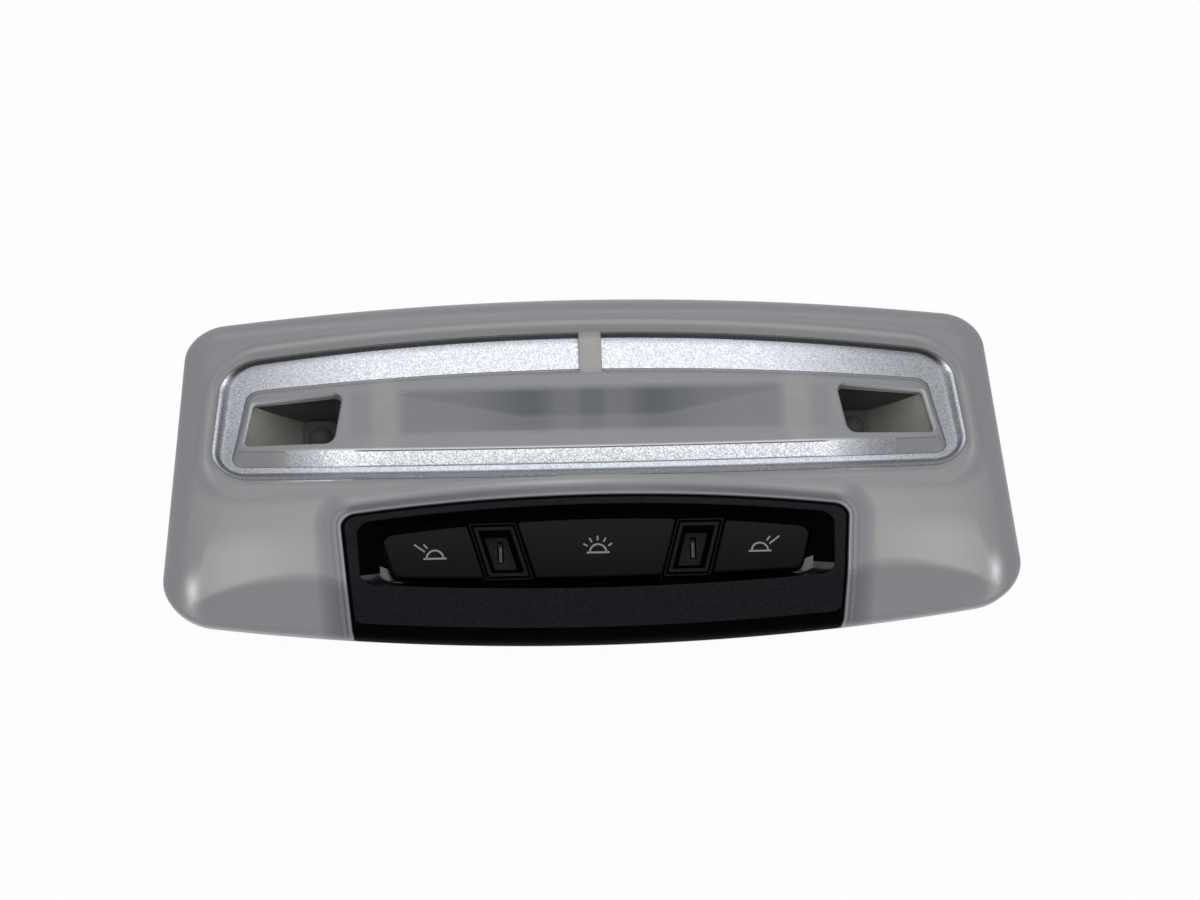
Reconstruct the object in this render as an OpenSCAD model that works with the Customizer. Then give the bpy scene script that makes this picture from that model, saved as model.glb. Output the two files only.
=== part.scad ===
// Rear dome light of a car: a frosted lens with a bright trim ring, two reading wells and a black
// switch panel with three push keys, on a shallow housing that goes up through the headliner.
// It lies on its back. X runs across the car, +Y to the far edge, +Z out of the lens.
// The origin is on the plane that the housing rests on, in the middle of the face outline.

/* [Face outline] */
// Width across the near corners
face_w = 180; // [178:0.5:190]
// Width across the far corners
face_far_w = 169; // [168:0.5:174]
// Depth of the face on its centre line
face_d = 74; // [73.6:0.1:76]
// Radius of the bow in the far edge
far_bow_r = 690; // [660:10:1200]
// Radius of the bow in the near edge
near_bow_r = 570; // [520:10:1000]
// Corner radius at the far edge
far_corner_r = 8.2; // [7:0.2:11]
// Corner radius at the near edge
near_corner_r = 9.8; // [8:0.2:12]

/* [Face form] */
// Height of the face above the housing's flange, at its middle
face_rise = 8.5; // [8:0.1:10]
// Radius of the crown across the width
crown_r = 1200; // [1000:10:2400]
// Angle at which the face rises towards the near edge
face_tilt = 2; // [1:0.1:2.6]
// Height of the upright rim round the lens
rim_h = 2.3; // [1.8:0.1:2.8]
// Width of the rolled edge at the far edge and the ends
roll_w = 5.4; // [4.6:0.1:5.8]
// Width of the slope down to the near edge
flank_w = 10.3; // [9.5:0.1:10.8]
// Share of the near slope's drop that is in its rolled lip
flank_lip = 0.42; // [0.3:0.01:0.5]
// Thickness of the lens under its face
lens_t = 2; // [1.6:0.1:2.4]
// Thickness of the lens under its groove
lens_floor = 1.2; // [0.8:0.1:1.4]
// Thickness of the lens at its rim
lens_wall = 2; // [1.6:0.1:2.2]

/* [Recess and trim ring] */
// Half width of the recess at its far corners
recess_far_hw = 76; // [75.4:0.1:76.4]
// Half width of the recess at its near corners
recess_near_hw = 79; // [78.4:0.1:79.4]
// Distance from the face's far edge to the recess, on the centre line
far_border = 9.3; // [9:0.1:9.8]
// Width of the lens between the recess and the switch panel, on the centre line
web_w = 5.5; // [5.3:0.1:5.9]
// Radius of the bow in the far edge of the recess
recess_bow_r = 600; // [560:10:800]
// Radius of the bow in the near edge of the recess
recess_near_bow_r = 2400; // [1800:100:4000]
// Corner radius of the recess
recess_corner_r = 7; // [6:0.2:8]
// Depth of the soft slope that leads into the recess, and of the island in it
island_depth = 0.9; // [0.6:0.05:1.1]
// Height of the trim ring's upstand
trim_lip_h = 1.3; // [1:0.05:1.5]
// Thickness of the trim ring's floor
trim_t = 0.8; // [0.6:0.05:0.9]
// Width of the top of the trim ring's upstand
trim_lip_w = 0.5; // [0.4:0.05:0.6]
// Width of the slope on the trim ring's upstand
trim_slope_w = 0.5; // [0.4:0.05:0.6]
// Share of the recess's depth that the far run of the trim ring takes
trim_far_share = 0.25; // [0.23:0.01:0.27]
// Share of it that the near run takes, where the ring is narrow
trim_near_share = 0.07; // [0.06:0.01:0.08]
// Half width of the trim ring's inside at its far corners
trim_in_far_hw = 71.8; // [71.4:0.1:72.4]
// Half width of the trim ring's inside at its near corners
trim_in_near_hw = 75.4; // [75:0.1:75.8]
// Radius of the bow in the far edge of the trim ring's inside
trim_in_bow_r = 710; // [680:10:900]
// Half length of the wide part of the trim ring's near run
trim_wide_hw = 47; // [42:1:54]
// Extra width of that part
trim_wide_w = 2.9; // [2:0.1:3]
// Half width of the bridge that parts the ends of the trim ring
bridge_hw = 2.4; // [1.8:0.1:3.5]
// Gap round the trim ring in its groove
trim_gap = 0.08; // [0.05:0.01:0.12]

/* [Reading wells] */
// Distance from the centre line to the middle of a reading window
window_x = 62.3; // [61.6:0.1:62.8]
// Width of a reading window
window_w = 18.7; // [16.5:0.1:19]
// Height of a reading window, as a share of the depth inside the trim ring
window_share = 0.45; // [0.42:0.01:0.47]
// Lean of a window's ends
window_lean = 2; // [1.4:0.1:2.4]
// Fall of a window's far side towards its outer end
window_fall = 0.9; // [0.6:0.1:1.2]
// Wall of a reading well
well_wall = 1; // [0.8:0.1:1.2]
// Distance that a well's foot lies nearer the centre than its window
well_shift = 5; // [4:0.1:6]
// Width of a well's foot
well_foot_w = 9; // [8.4:0.1:9.6]
// Radius of a reading optic's dome
optic_r = 2.6; // [2.2:0.1:2.7]

/* [Switch panel] */
// Half width of the switch panel at its far corners
panel_far_hw = 52.6; // [52:0.1:54]
// Half width of the switch panel at the near edge
panel_near_hw = 50; // [49.6:0.1:51]
// Share of the face's depth that the panel takes
panel_share = 0.404; // [0.4:0.001:0.408]
// Radius of the bow in the panel's far edge
panel_bow_r = 450; // [420:10:500]
// Corner radius of the panel
panel_corner_r = 2.6; // [2:0.1:3.2]
// Gap between the panel and the lens
panel_gap = 0.2; // [0.12:0.01:0.25]
// Height of the panel's face above the lens
panel_proud = 0.25; // [0.1:0.05:0.4]
// Thickness of the panel's skin
panel_t = 1.6; // [1.4:0.1:1.8]
// Half width of the scoop
scoop_hw = 49.6; // [49:0.1:49.9]
// Width of the panel beyond the scoop's far edge
scoop_border = 1.8; // [1.7:0.1:2.1]
// Distance from the face's near edge to the scoop
scoop_front = 10.4; // [10.3:0.1:10.6]
// Height of the scoop's floor above the housing's flange
scoop_floor_h = 5.7; // [5.4:0.1:6]
// Length of the scoop's sloping ends
scoop_end_w = 4.2; // [3.6:0.1:4.4]
// Width of the scoop's far and near walls
scoop_side_w = 1.3; // [1:0.1:1.5]
// Half width of the key opening at its far corners
keys_far_hw = 45; // [44.6:0.1:45.2]
// Half width of the key opening at its near corners
keys_near_hw = 41.2; // [40.4:0.1:42]
// Distance from the panel's far edge to the key opening, on the centre line
keys_border = 4.2; // [4:0.1:4.4]
// Distance from the face's near edge to the key opening
keys_front = 12.6; // [12.4:0.1:13]
// Radius of the bow in the far edge of the key opening
keys_bow_r = 370; // [350:10:450]

/* [Keys and light ports] */
// Gap round each key
key_gap = 0.35; // [0.25:0.05:0.45]
// Travel of a key
key_travel = 1; // [0.6:0.1:1.1]
// Height of a key's middle above the scoop's floor
key_h = 2.1; // [1.8:0.1:2.4]
// Angle at which a key rises towards the near edge
key_tilt = 6; // [4:0.5:7]
// Wall of a key
key_wall = 1.2; // [1:0.1:1.4]
// Chamfer round the top of a key
key_chamfer = 0.4; // [0.2:0.05:0.5]
// Reach of the stop lips under the panel
stop_lip = 0.8; // [0.6:0.05:0.9]
// Thickness of the stop lips
stop_lip_t = 1; // [0.8:0.1:1.2]
// Play between a key's lip and the panel
stop_gap = 0.1; // [0.05:0.01:0.15]
// Side of a key's stem
stem_w = 4.4; // [3.8:0.1:5]
// Distance from the centre line to the middle of a light port
port_x = 20; // [19.6:0.1:20.4]
// Width of a light port's frame
port_w = 10; // [9.4:0.1:10.4]
// Lean of the ports: sideways run for each millimetre of depth
port_lean = 0.29; // [0.24:0.01:0.32]
// Height of a port's rim above the scoop's floor
port_h = 1.2; // [0.8:0.1:1.6]
// Width of the rim round a port's pocket
port_rim = 1.5; // [1.3:0.1:1.7]
// Width of the slopes in a port's pocket
port_slope_w = 1.3; // [1:0.1:1.5]
// Depth of a port's pocket
port_depth = 2.4; // [2:0.1:2.6]
// Thickness of a port's floor
port_floor = 1; // [0.8:0.1:1.3]
// Width of a light pipe
pipe_w = 1.3; // [1.1:0.1:1.6]
// Length of a light pipe's end, as a share of the depth of the key opening
pipe_share = 0.35; // [0.32:0.01:0.38]

/* [Switches and light sources] */
// Side of a switch body
switch_w = 6.2; // [5.8:0.1:7]
// Height of a switch body
switch_h = 5; // [4.6:0.1:5.6]
// Radius of a switch plunger
plunger_r = 1.7; // [1.4:0.1:1.9]
// Gap round a switch plunger
plunger_gap = 0.08; // [0.05:0.01:0.1]
// Length of a switch plunger inside its switch
plunger_in = 2.2; // [1.8:0.1:2.4]
// Side of a light source
led_w = 3; // [2.6:0.1:3.4]
// Height of a light source
led_h = 0.9; // [0.7:0.1:1.1]
// Distance from the centre line to a dome light source
dome_led_x = 22; // [18:1:26]
// Half length of the diffuser tray at its top
tray_hw = 45.5; // [43:0.5:46]
// Gap between the diffuser tray and the trim ring's inside
tray_border = 3.2; // [3:0.1:3.8]
// Wall of the diffuser tray
tray_wall = 1; // [0.8:0.1:1.4]

/* [Rear housing] */
// Depth of the housing behind the headliner
back_depth = 18.5; // [18:0.1:21]
// Thickness of the housing's flange
flange_t = 1.5; // [1.2:0.1:1.8]
// Inset of the housing's flange from the lens edge
flange_inset = 0.8; // [0.6:0.1:1]
// Inset of the housing's walls from the lens edge
body_inset = 7.4; // [7:0.1:7.6]
// Wall of the housing
housing_wall = 1.8; // [1.6:0.1:2.2]
// Corner radius of the housing
body_corner_r = 5; // [4:0.2:7]
// Half length of the deep middle of the housing
deep_hw = 64; // [62:1:70]
// Height at which the housing's shallow ends stand
step_h = 5; // [3:0.2:5.6]
// Height of the lip that locates the lens
locating_h = 1.6; // [1.2:0.1:1.8]
// Gap between that lip and the lens
locating_gap = 0.25; // [0.2:0.05:0.3]
// Height of the circuit board's underside
board_z = 9; // [8.8:0.1:9.4]
// Thickness of the circuit board
board_t = 1.6; // [1.2:0.1:1.8]
// Gap between the circuit board and the housing
board_gap = 0.6; // [0.4:0.1:1]
// Radius of a board screw
screw_r = 1.2; // [1:0.05:1.3]
// Gap round a board screw in its boss
screw_gap = 0.05; // [0.03:0.01:0.08]
// Radius of a boss under the board
boss_r = 3; // [2.8:0.1:3.4]
// Distance of the board's screws from the centre line
screw_x = 57; // [54:0.5:59]
// Distance of the far screws from the face's far edge
screw_far_in = 15; // [14.8:0.1:16]
// Distance of the near screws from the face's near edge
screw_near_in = 17; // [16.5:0.1:17.5]
// Slots for air in each group in the housing's floor
vent_slots = 5; // [3:1:6]
// Distance from the centre line to the middle of a group of slots
vent_x = 40; // [36:1:42]

/* [Snap arms, clips and connector] */
// Distance from the centre line to the lens's snap arms
lens_snap_x = 33; // [28:0.5:36]
// Distance from the centre line to the panel's snap arms
panel_snap_x = 36; // [33:0.5:37]
// Width of a snap arm
snap_w = 8; // [6:0.1:8.4]
// Thickness of a snap arm
snap_t = 1.4; // [1.1:0.1:1.4]
// Gap between a snap arm and the housing
snap_gap = 0.3; // [0.2:0.05:0.35]
// Height of the snap arms' hooks
snap_z = 12; // [11.6:0.1:13]
// Distance from the centre line to a spring clip
clip_x = 52; // [50:0.5:54]
// Width of a spring clip
clip_w = 9.6; // [9:0.1:10.4]
// Thickness of a spring clip
clip_t = 0.5; // [0.4:0.05:0.5]
// Reach of a spring clip beyond the housing's wall
clip_reach = 2.9; // [2.4:0.1:3.2]
// Depth of the pocket for a spring clip
clip_pocket = 0.9; // [0.7:0.05:1]
// Distance of the connector from the centre line
socket_x = 0; // [-6:0.5:6]
// Inside length of the connector
socket_l = 15.4; // [14.6:0.1:17]
// Inside width of the connector
socket_w = 6.4; // [6:0.1:7]
// Wall of the connector
socket_wall = 1.1; // [0.9:0.1:1.3]
// Pitch of the terminals
terminal_pitch = 2.2; // [2:0.1:2.4]
// Side of a terminal
terminal_w = 0.64; // [0.5:0.01:0.8]

/* [Hidden] */
$fn = 48;

corner_steps = 6;
edge_steps = [16, 5, 16, 5];
film = 0.02;
above = 45;
terminals = 6;

seat_z = back_depth;
flange_z = seat_z + flange_t;
rim_z = flange_z + rim_h;
far_y = face_d / 2;
near_y = -face_d / 2;

panel_far_y = near_y + panel_share * face_d;
scoop_far_y = panel_far_y - scoop_border;
scoop_near_y = near_y + scoop_front;
keys_far_y = panel_far_y - keys_border;
keys_near_y = near_y + keys_front;
keys_mid_y = (keys_far_y + keys_near_y) / 2;

recess_far_y = far_y - far_border;
recess_near_y = panel_far_y + web_w;
recess_d = recess_far_y - recess_near_y;
trim_in_far_y = recess_far_y - trim_far_share * recess_d;
trim_in_near_y = recess_near_y + trim_near_share * recess_d;
trim_in_d = trim_in_far_y - trim_in_near_y;
window_y = (trim_in_far_y + trim_in_near_y) / 2;
window_h = window_share * trim_in_d;

trim_depth = island_depth + trim_lip_h;
groove_depth = trim_depth + trim_t;
groove_out = trim_lip_w + trim_slope_w;
slope_side_w = 1.4;
slope_edge_w = 2.4;

scoop_z = flange_z + scoop_floor_h;
panel_under = scoop_z - panel_t;
port_in = port_x - port_w / 2;
port_out = port_x + port_w / 2;
port_far_in = 0.9;
port_near_in = 0.5;
port_wall = 1;
pipe_l = pipe_share * (keys_far_y - keys_near_y);
side_key_x = (port_out + keys_far_hw - 2) / 2;
key_places = [["left", -side_key_x], ["centre", 0], ["right", side_key_x]];
sides = [["left", -1], ["right", 1]];

board_top = board_z + board_t;
switch_top = board_top + switch_h;
plunger_top = switch_top + key_travel + 0.4;
led_top = board_top + led_h;
seat_gap = 0.1;

lens_tint = [0.62, 0.63, 0.64];
panel_black = [0.09, 0.09, 0.1];
key_grey = [0.14, 0.14, 0.14];
board_green = [0.1, 0.3, 0.2];
led_white = [0.95, 0.94, 0.88];
plastic_white = [0.85, 0.85, 0.84];

// Outlines

function unit(v) = v / norm(v);

// Arc of radius r that rounds the corner at q, on the way from p to s
function fillet(p, q, s, r) =
    let (a = unit(p - q), b = unit(s - q),
         half = acos(a * b) / 2,
         centre = q + unit(a + b) * r / sin(half),
         start = q + a * r / tan(half) - centre,
         angle = atan2(start[1], start[0]))
    [for (k = [0:corner_steps])
        let (turn = angle + (180 - 2 * half) * k / corner_steps)
        centre + r * [cos(turn), sin(turn)]];

// Anticlockwise outline through four corners, each rounded, with each edge divided into steps
function rounded(corners, radii, steps) =
    let (arcs = [for (i = [0:3])
            fillet(corners[(i + 3) % 4], corners[i], corners[(i + 1) % 4], radii[i])])
    [for (i = [0:3])
        let (a = arcs[i][corner_steps], b = arcs[(i + 1) % 4][0])
        each concat(arcs[i], [for (k = [1:1:steps[i] - 1]) a + (b - a) * k / steps[i]])];

// Rounded trapezoid whose far and near edges bow outwards, each to its own radius.
// hw: half widths, y: edges on the centre line, bow: radii of the bows, each far then near.
function bowed(hw, y, bow, radii, steps = edge_steps) =
    let (corners = [[hw[0], y[0]], [-hw[0], y[0]], [-hw[1], y[1]], [hw[1], y[1]]])
    [for (p = rounded(corners, radii, steps))
        let (share = (p[1] - y[1]) / (y[0] - y[1]))
        [p[0], p[1] + p[0] * p[0] / 2 * ((1 - share) / bow[1] - share / bow[0])]];

// Outline of the face, moved inwards at its near edge and elsewhere
function face_outline(side, near) =
    let (rf = max(far_corner_r - side, 1), rn = max(near_corner_r - side, 1))
    bowed([face_far_w / 2 - side, face_w / 2 - side], [far_y - side, near_y + near],
          [far_bow_r, near_bow_r], [rf, rf, rn, rn]);

function recess_outline(side, edge) =
    let (r = recess_corner_r - side)
    bowed([recess_far_hw - side, recess_near_hw - side], [recess_far_y - edge, recess_near_y + edge],
          [recess_bow_r, recess_near_bow_r], [r, r, r, r]);

// Inside of the trim ring. Its near run is wide in the middle, with a short step at either end.
function trim_inside(d) =
    let (plain = bowed([trim_in_far_hw - d, trim_in_near_hw - d],
                       [trim_in_far_y - d, trim_in_near_y + d],
                       [trim_in_bow_r, recess_near_bow_r], [3, 3, 2.5, 2.5]))
    [for (p = plain)
        let (past = abs(p[0]) - trim_wide_hw, near = p[1] < trim_in_near_y + 2.4,
             x = near && abs(past) < 6 ? sign(p[0]) * (trim_wide_hw + sign(past)) : p[0])
        [x, p[1] + (near && past < 0 ? trim_wide_w : 0)]];

island_outline = bowed([trim_in_far_hw - 1.2, trim_in_near_hw - 1.5],
                       [trim_in_far_y - 1.2, trim_in_near_y + trim_wide_w + 0.3],
                       [trim_in_bow_r, recess_near_bow_r], [2.2, 2.2, 2, 2]);

// 1 along the near edge, 0 along the far edge and the ends, and a ramp in each near corner
near_share = concat(
    [for (k = [1:2 * corner_steps + edge_steps[0] + edge_steps[1]]) 0],
    [for (k = [0:corner_steps]) k / corner_steps],
    [for (k = [1:edge_steps[2] - 1]) 1],
    [for (k = [0:corner_steps]) 1 - k / corner_steps],
    [for (k = [1:edge_steps[3] - 1]) 0]
);

// Heights

// Height of the face, or of the surface at a depth under it
function face_z(p, depth) =
    flange_z + face_rise - depth - p[1] * tan(face_tilt)
    + sqrt(crown_r * crown_r - p[0] * p[0]) - crown_r;

function at_depth(outline, depth) = [for (p = outline) [p[0], p[1], face_z(p, depth)]];
function at_height(outline, z) = [for (p = outline) [p[0], p[1], z]];

// Share of the edge's drop that is left, at a share of the way in from the edge
function rolled(way) = 1 - sqrt(1 - pow(1 - way, 2));
function flanked(way) =
    way < 0.1 ? 1 - flank_lip * sqrt(way / 0.1) : (1 - flank_lip) * (1 - way) / 0.9;

// Ring on the rolled edge. A skin inside the face has its own inset, widths, depth and rim.
function edge_ring(way, inset, widths, depth, rim) =
    let (outline = face_outline(inset + way * widths[0], inset + way * widths[1]))
    [for (j = [0:len(outline) - 1])
        let (p = outline[j], top = face_z(p, depth),
             share = rolled(way) + near_share[j] * (flanked(way) - rolled(way)))
        [p[0], p[1], top - (top - rim) * share]];

// Rings that close a surface under the crown towards its middle
function closing_rings(outline, middle, depth) = [
    for (share = [0.68, 0.36, 0.03])
        at_depth([for (p = outline) middle + (p - middle) * share], depth)
];

function reversed(list) = [for (k = [len(list) - 1:-1:0]) list[k]];

// Solid through rings of as many points each
module loft(rings) {
    n = len(rings[0]);
    last = len(rings) - 1;
    polyhedron(
        points = [for (ring = rings) each ring],
        faces = concat(
            [[for (j = [0:n - 1]) j]],
            [for (k = [0:last - 1], j = [0:n - 1], half = [0, 1])
                let (a = k * n + j, b = k * n + (j + 1) % n)
                half == 0 ? [a, a + n, b + n] : [a, b + n, b]],
            [[for (j = [0:n - 1]) last * n + n - 1 - j]]
        )
    );
}

edge_ways = [0, 0.04, 0.1, 0.25, 0.5, 0.75, 1];
skin_ways = [0, 0.1, 0.3, 0.6, 1];

// Solid under a surface that follows the face, down to a bottom plane
module face_solid(inset, widths, depth, bottom, rim, ways) {
    inmost = face_outline(inset + widths[0], inset + widths[1]);
    loft(concat(
        [at_height(face_outline(inset, inset), bottom)],
        [for (way = ways) edge_ring(way, inset, widths, depth, rim)],
        closing_rings(inmost, [0, 0], depth)
    ));
}

module on_side(side) {
    if (side < 0) mirror([1, 0, 0]) children();
    else children();
}

// Places children on the outside of the housing's far or near wall, with +Y pointing outwards
module at_wall(far, x) {
    bow = far ? far_bow_r : near_bow_r;
    mirror([0, far ? 0 : 1, 0])
        translate([x, far_y - body_inset - x * x / 2 / bow, 0]) rotate(-atan(x / bow)) children();
}

// Prism along X from an outline in Y and Z
module along_x(width) {
    translate([-width / 2, 0, 0]) rotate([90, 0, 90]) linear_extrude(width) children();
}

// Arm that reaches down inside the housing's wall and hooks into its window
module snap_arm(top) {
    back = -housing_wall - snap_gap;
    along_x(snap_w)
        polygon([
            [back, top], [back - snap_t, top], [back - snap_t, snap_z], [back, snap_z],
            [-0.5, snap_z + 1.6], [-0.5, snap_z + 2], [back, snap_z + 2]
        ]);
}

// Lens

module lens_cover() {
    under = groove_depth + lens_floor;
    middle = [0, window_y];
    skin = [roll_w - 1.8, flank_w - lens_wall];
    function slope(left) =
        recess_outline(-groove_out - slope_side_w * left, -groove_out - slope_edge_w * left);
    step_out = recess_outline(-groove_out - slope_side_w + 0.1, -groove_out - slope_edge_w + 0.1);
    step_in = recess_outline(-groove_out - 0.9, -groove_out - 1.5);
    rings = concat(
        reversed(closing_rings(step_in, middle, under)),
        [at_depth(step_in, under), at_depth(step_out, lens_t)],
        [for (way = reversed(skin_ways)) edge_ring(way, lens_wall, skin, lens_t, flange_z + 1)],
        [at_height(face_outline(lens_wall, lens_wall), flange_z)],
        [at_height(face_outline(0, 0), flange_z)],
        [for (way = edge_ways) edge_ring(way, 0, [roll_w, flank_w], 0, rim_z)],
        [for (left = [1, 0.5, 0]) at_depth(slope(left), island_depth * pow(1 - left, 1.4))],
        [at_depth(slope(0), groove_depth)],
        [at_depth(trim_inside(0), groove_depth), at_depth(trim_inside(0), trim_depth)],
        [at_depth(island_outline, island_depth)],
        closing_rings(island_outline, middle, island_depth)
    );
    color(lens_tint) {
        difference() {
            loft(rings);
            translate([0, 0, flange_z - 1]) linear_extrude(above) panel_2d(-panel_gap);
            for (side = [-1, 1])
                on_side(side) translate([0, 0, flange_z - 1]) linear_extrude(above) window_2d();
        }
        bridge();
        for (side = [-1, 1])
            at_wall(true, side * lens_snap_x)
                snap_arm(face_z([lens_snap_x, recess_far_y], groove_depth + lens_floor / 2));
    }
}

// Stretch that fills the groove between the trim ring's ends
module bridge() {
    start = trim_in_far_y - 0.5;
    length = recess_far_y + groove_out + 0.5 - start;
    deep = groove_depth - island_depth + lens_floor / 2;
    translate([0, start, face_z([0, start], island_depth + 0.3)])
        rotate([-face_tilt, 0, 0])
            translate([-bridge_hw, 0, -deep]) cube([2 * bridge_hw, length, deep]);
}

// Outline of the right reading window
function window_points(grow) =
    let (out = window_x + window_w / 2 + grow, in = window_x - window_w / 2 - grow,
         far = window_y + window_h / 2 + grow, near = window_y - window_h / 2 - grow,
         lean = window_lean / 2)
    rounded([[out - lean, far - window_fall], [in - lean, far], [in + lean, near], [out + lean, near]],
            [1 + grow, 1.6 + grow, 2.4 + grow, 0.8 + grow], [1, 1, 1, 1]);

module window_2d() {
    polygon(window_points(0));
}

// Ring with an L-shaped section, open at the bridge
module trim_ring() {
    outer = recess_outline(trim_gap - groove_out, trim_gap - groove_out);
    lip = recess_outline(trim_gap - trim_slope_w, trim_gap - trim_slope_w);
    foot = recess_outline(0, 0);
    inner = trim_inside(-trim_gap);
    n = len(outer);
    middle = corner_steps + edge_steps[0] / 2;
    end_x = bridge_hw + trim_gap;
    base = groove_depth - trim_gap;
    sections = [for (k = [0:n])
        let (j = (middle + k) % n,
             across = [[inner[j], base], [inner[j], trim_depth], [foot[j], trim_depth],
                       [lip[j], island_depth], [outer[j], island_depth], [outer[j], base]])
        [for (c = across)
            let (p = k == 0 ? [-end_x, c[0][1]] : k == n ? [end_x, c[0][1]] : c[0])
            [p[0], p[1], face_z(p, c[1])]]];
    color("silver") loft(sections);
}

// Panel and its scoop

// The panel runs out past the near edge of the face
module panel_2d(d) {
    r = max(panel_corner_r - d, 0.6);
    polygon(bowed([panel_far_hw - d, panel_near_hw - d], [panel_far_y - d, near_y - 3],
                  [panel_bow_r, near_bow_r], [r, r, 1, 1], [14, 1, 1, 1]));
}

// Ring on the scoop's wall at a share of the way up, moved outwards by a thickness
function scoop_ring(share, out) =
    let (left = 1 - share, hw = scoop_hw - scoop_end_w * left + out)
    bowed([hw, hw - 0.8],
          [scoop_far_y - scoop_side_w * left + out, scoop_near_y + scoop_side_w * left - out],
          [panel_bow_r, near_bow_r], [3, 3, 3, 3], [14, 1, 14, 1]);

// Bowl of the scoop from its floor up past the face, or only into the panel's skin where it has a wall
module scoop_bowl(wall) {
    floor_z = scoop_z - wall;
    loft(concat(
        [for (share = [0, 0.35, 0.7, 1])
            [for (p = scoop_ring(share, wall))
                [p[0], p[1], floor_z + (face_z(p, wall / 2 - panel_proud) - floor_z) * pow(share, 1.5)]]],
        wall > 0 ? [] : [at_height(scoop_ring(1, 0), above)]
    ));
}

module key_opening_2d(grow) {
    offset(delta = grow)
        polygon(bowed([keys_far_hw, keys_near_hw], [keys_far_y, keys_near_y], [keys_bow_r, 930],
                      [2, 2, 2.6, 2.6], [12, 1, 12, 1]));
}

module switch_panel() {
    color(panel_black) {
        difference() {
            union() {
                difference() {
                    intersection() {
                        face_solid(0, [roll_w, flank_w], -panel_proud, flange_z, rim_z, edge_ways);
                        linear_extrude(above) panel_2d(0);
                    }
                    intersection() {
                        face_solid(panel_t, [roll_w, flank_w - panel_t / 2],
                                   panel_t - panel_proud, flange_z - 1, flange_z + 0.8, skin_ways);
                        linear_extrude(above) panel_2d(panel_t);
                    }
                }
                scoop_bowl(panel_t);
            }
            scoop_bowl(0);
            translate([0, 0, flange_z]) linear_extrude(above) key_opening_2d(0);
        }
        for (side = [-1, 1])
            at_wall(false, side * panel_snap_x) snap_arm(scoop_z + 0.5);
    }
}

// Keys and ports

// Band between two lines that lean as the ports do, at distances from the centre line
module band_2d(from, to, from_lean, to_lean) {
    reach = 14;
    polygon([
        [from + from_lean * reach, keys_mid_y + reach], [from - from_lean * reach, keys_mid_y - reach],
        [to - to_lean * reach, keys_mid_y - reach], [to + to_lean * reach, keys_mid_y + reach]
    ]);
}

// Outline of a key: the key opening grown by an amount, between the ports
module key_2d(place, grow, gap) {
    intersection() {
        key_opening_2d(grow);
        if (place == "centre") band_2d(gap - port_in, port_in - gap, -port_lean, port_lean);
        else on_side(place == "left" ? -1 : 1) band_2d(port_out + gap, panel_far_hw, port_lean, 0);
    }
}

// Thin slice of a key's outline on a plane that rises towards the near edge
module key_slice(place, inset, z) {
    translate([0, keys_mid_y, z])
        rotate([-key_tilt, 0, 0])
            translate([0, -keys_mid_y, 0])
                linear_extrude(film) key_2d(place, -key_gap - inset, key_gap + inset);
}

// Push key: a hollow cap with stop lips under the panel's floor and a stem on its switch
module key(place, x) {
    top = scoop_z + key_h;
    lip_top = panel_under - stop_gap;
    color(key_grey) {
        difference() {
            hull() {
                key_slice(place, key_chamfer, top - film);
                key_slice(place, 0, top - key_chamfer);
                translate([0, 0, lip_top - stop_lip_t])
                    linear_extrude(film) key_2d(place, -key_gap, key_gap);
            }
            hull() {
                key_slice(place, key_wall, top - key_wall);
                translate([0, 0, lip_top - stop_lip_t - 1])
                    linear_extrude(film) key_2d(place, -key_gap - key_wall, key_gap + key_wall);
            }
        }
        translate([0, 0, lip_top - stop_lip_t])
            linear_extrude(stop_lip_t)
                difference() {
                    key_2d(place, stop_lip, key_gap);
                    key_2d(place, -key_gap - key_wall / 2, key_gap - 1);
                }
        translate([x - stem_w / 2, keys_mid_y - stem_w / 2, plunger_top])
            cube([stem_w, stem_w, top - key_wall / 2 - plunger_top]);
    }
}

// Ring of a port's pocket: a parallelogram between the keys, inset from the frame
function port_ring(inset, z) =
    let (far = keys_far_y - inset - port_far_in, near = keys_near_y + inset + port_near_in,
         hw = port_w / 2 - inset,
         far_x = port_x + port_lean * (far - keys_mid_y), near_x = port_x + port_lean * (near - keys_mid_y))
    [[far_x + hw, far, z], [far_x - hw, far, z], [near_x - hw, near, z], [near_x + hw, near, z]];

// Frame of a light port, with its pocket and the slot for its light pipe
module port_frame(side) {
    top = scoop_z + port_h;
    base = panel_under - stop_lip_t;
    floor_z = top - port_depth;
    color(panel_black) on_side(side) difference() {
        for (layer = [[-seat_gap, top - base], [stop_lip, stop_lip_t]])
            translate([0, 0, base])
                linear_extrude(layer[1])
                    intersection() {
                        key_opening_2d(layer[0]);
                        band_2d(port_in, port_out, port_lean, port_lean);
                    }
        loft([port_ring(port_rim + port_slope_w, floor_z), port_ring(port_rim, top + film)]);
        loft([port_ring(port_wall, base - 1), port_ring(port_wall, floor_z - port_floor)]);
        pipe_block(pipe_w + 2 * seat_gap, pipe_l + 2 * seat_gap, base - 1, top);
    }
}

module pipe_block(width, length, from, to) {
    translate([port_x - width / 2, keys_mid_y - length / 2, from]) cube([width, length, to - from]);
}

// Light pipe: a bar from the light source to the port's floor, with a collar under that floor
module light_pipe(side) {
    floor_z = scoop_z + port_h - port_depth;
    collar = 0.8;
    color("white") on_side(side) {
        pipe_block(pipe_w, pipe_l, led_top + seat_gap, floor_z - 0.2);
        pipe_block(pipe_w + 1.2, pipe_l + 0.6, floor_z - port_floor - collar, floor_z - port_floor);
    }
}

// Reading lights

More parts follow.
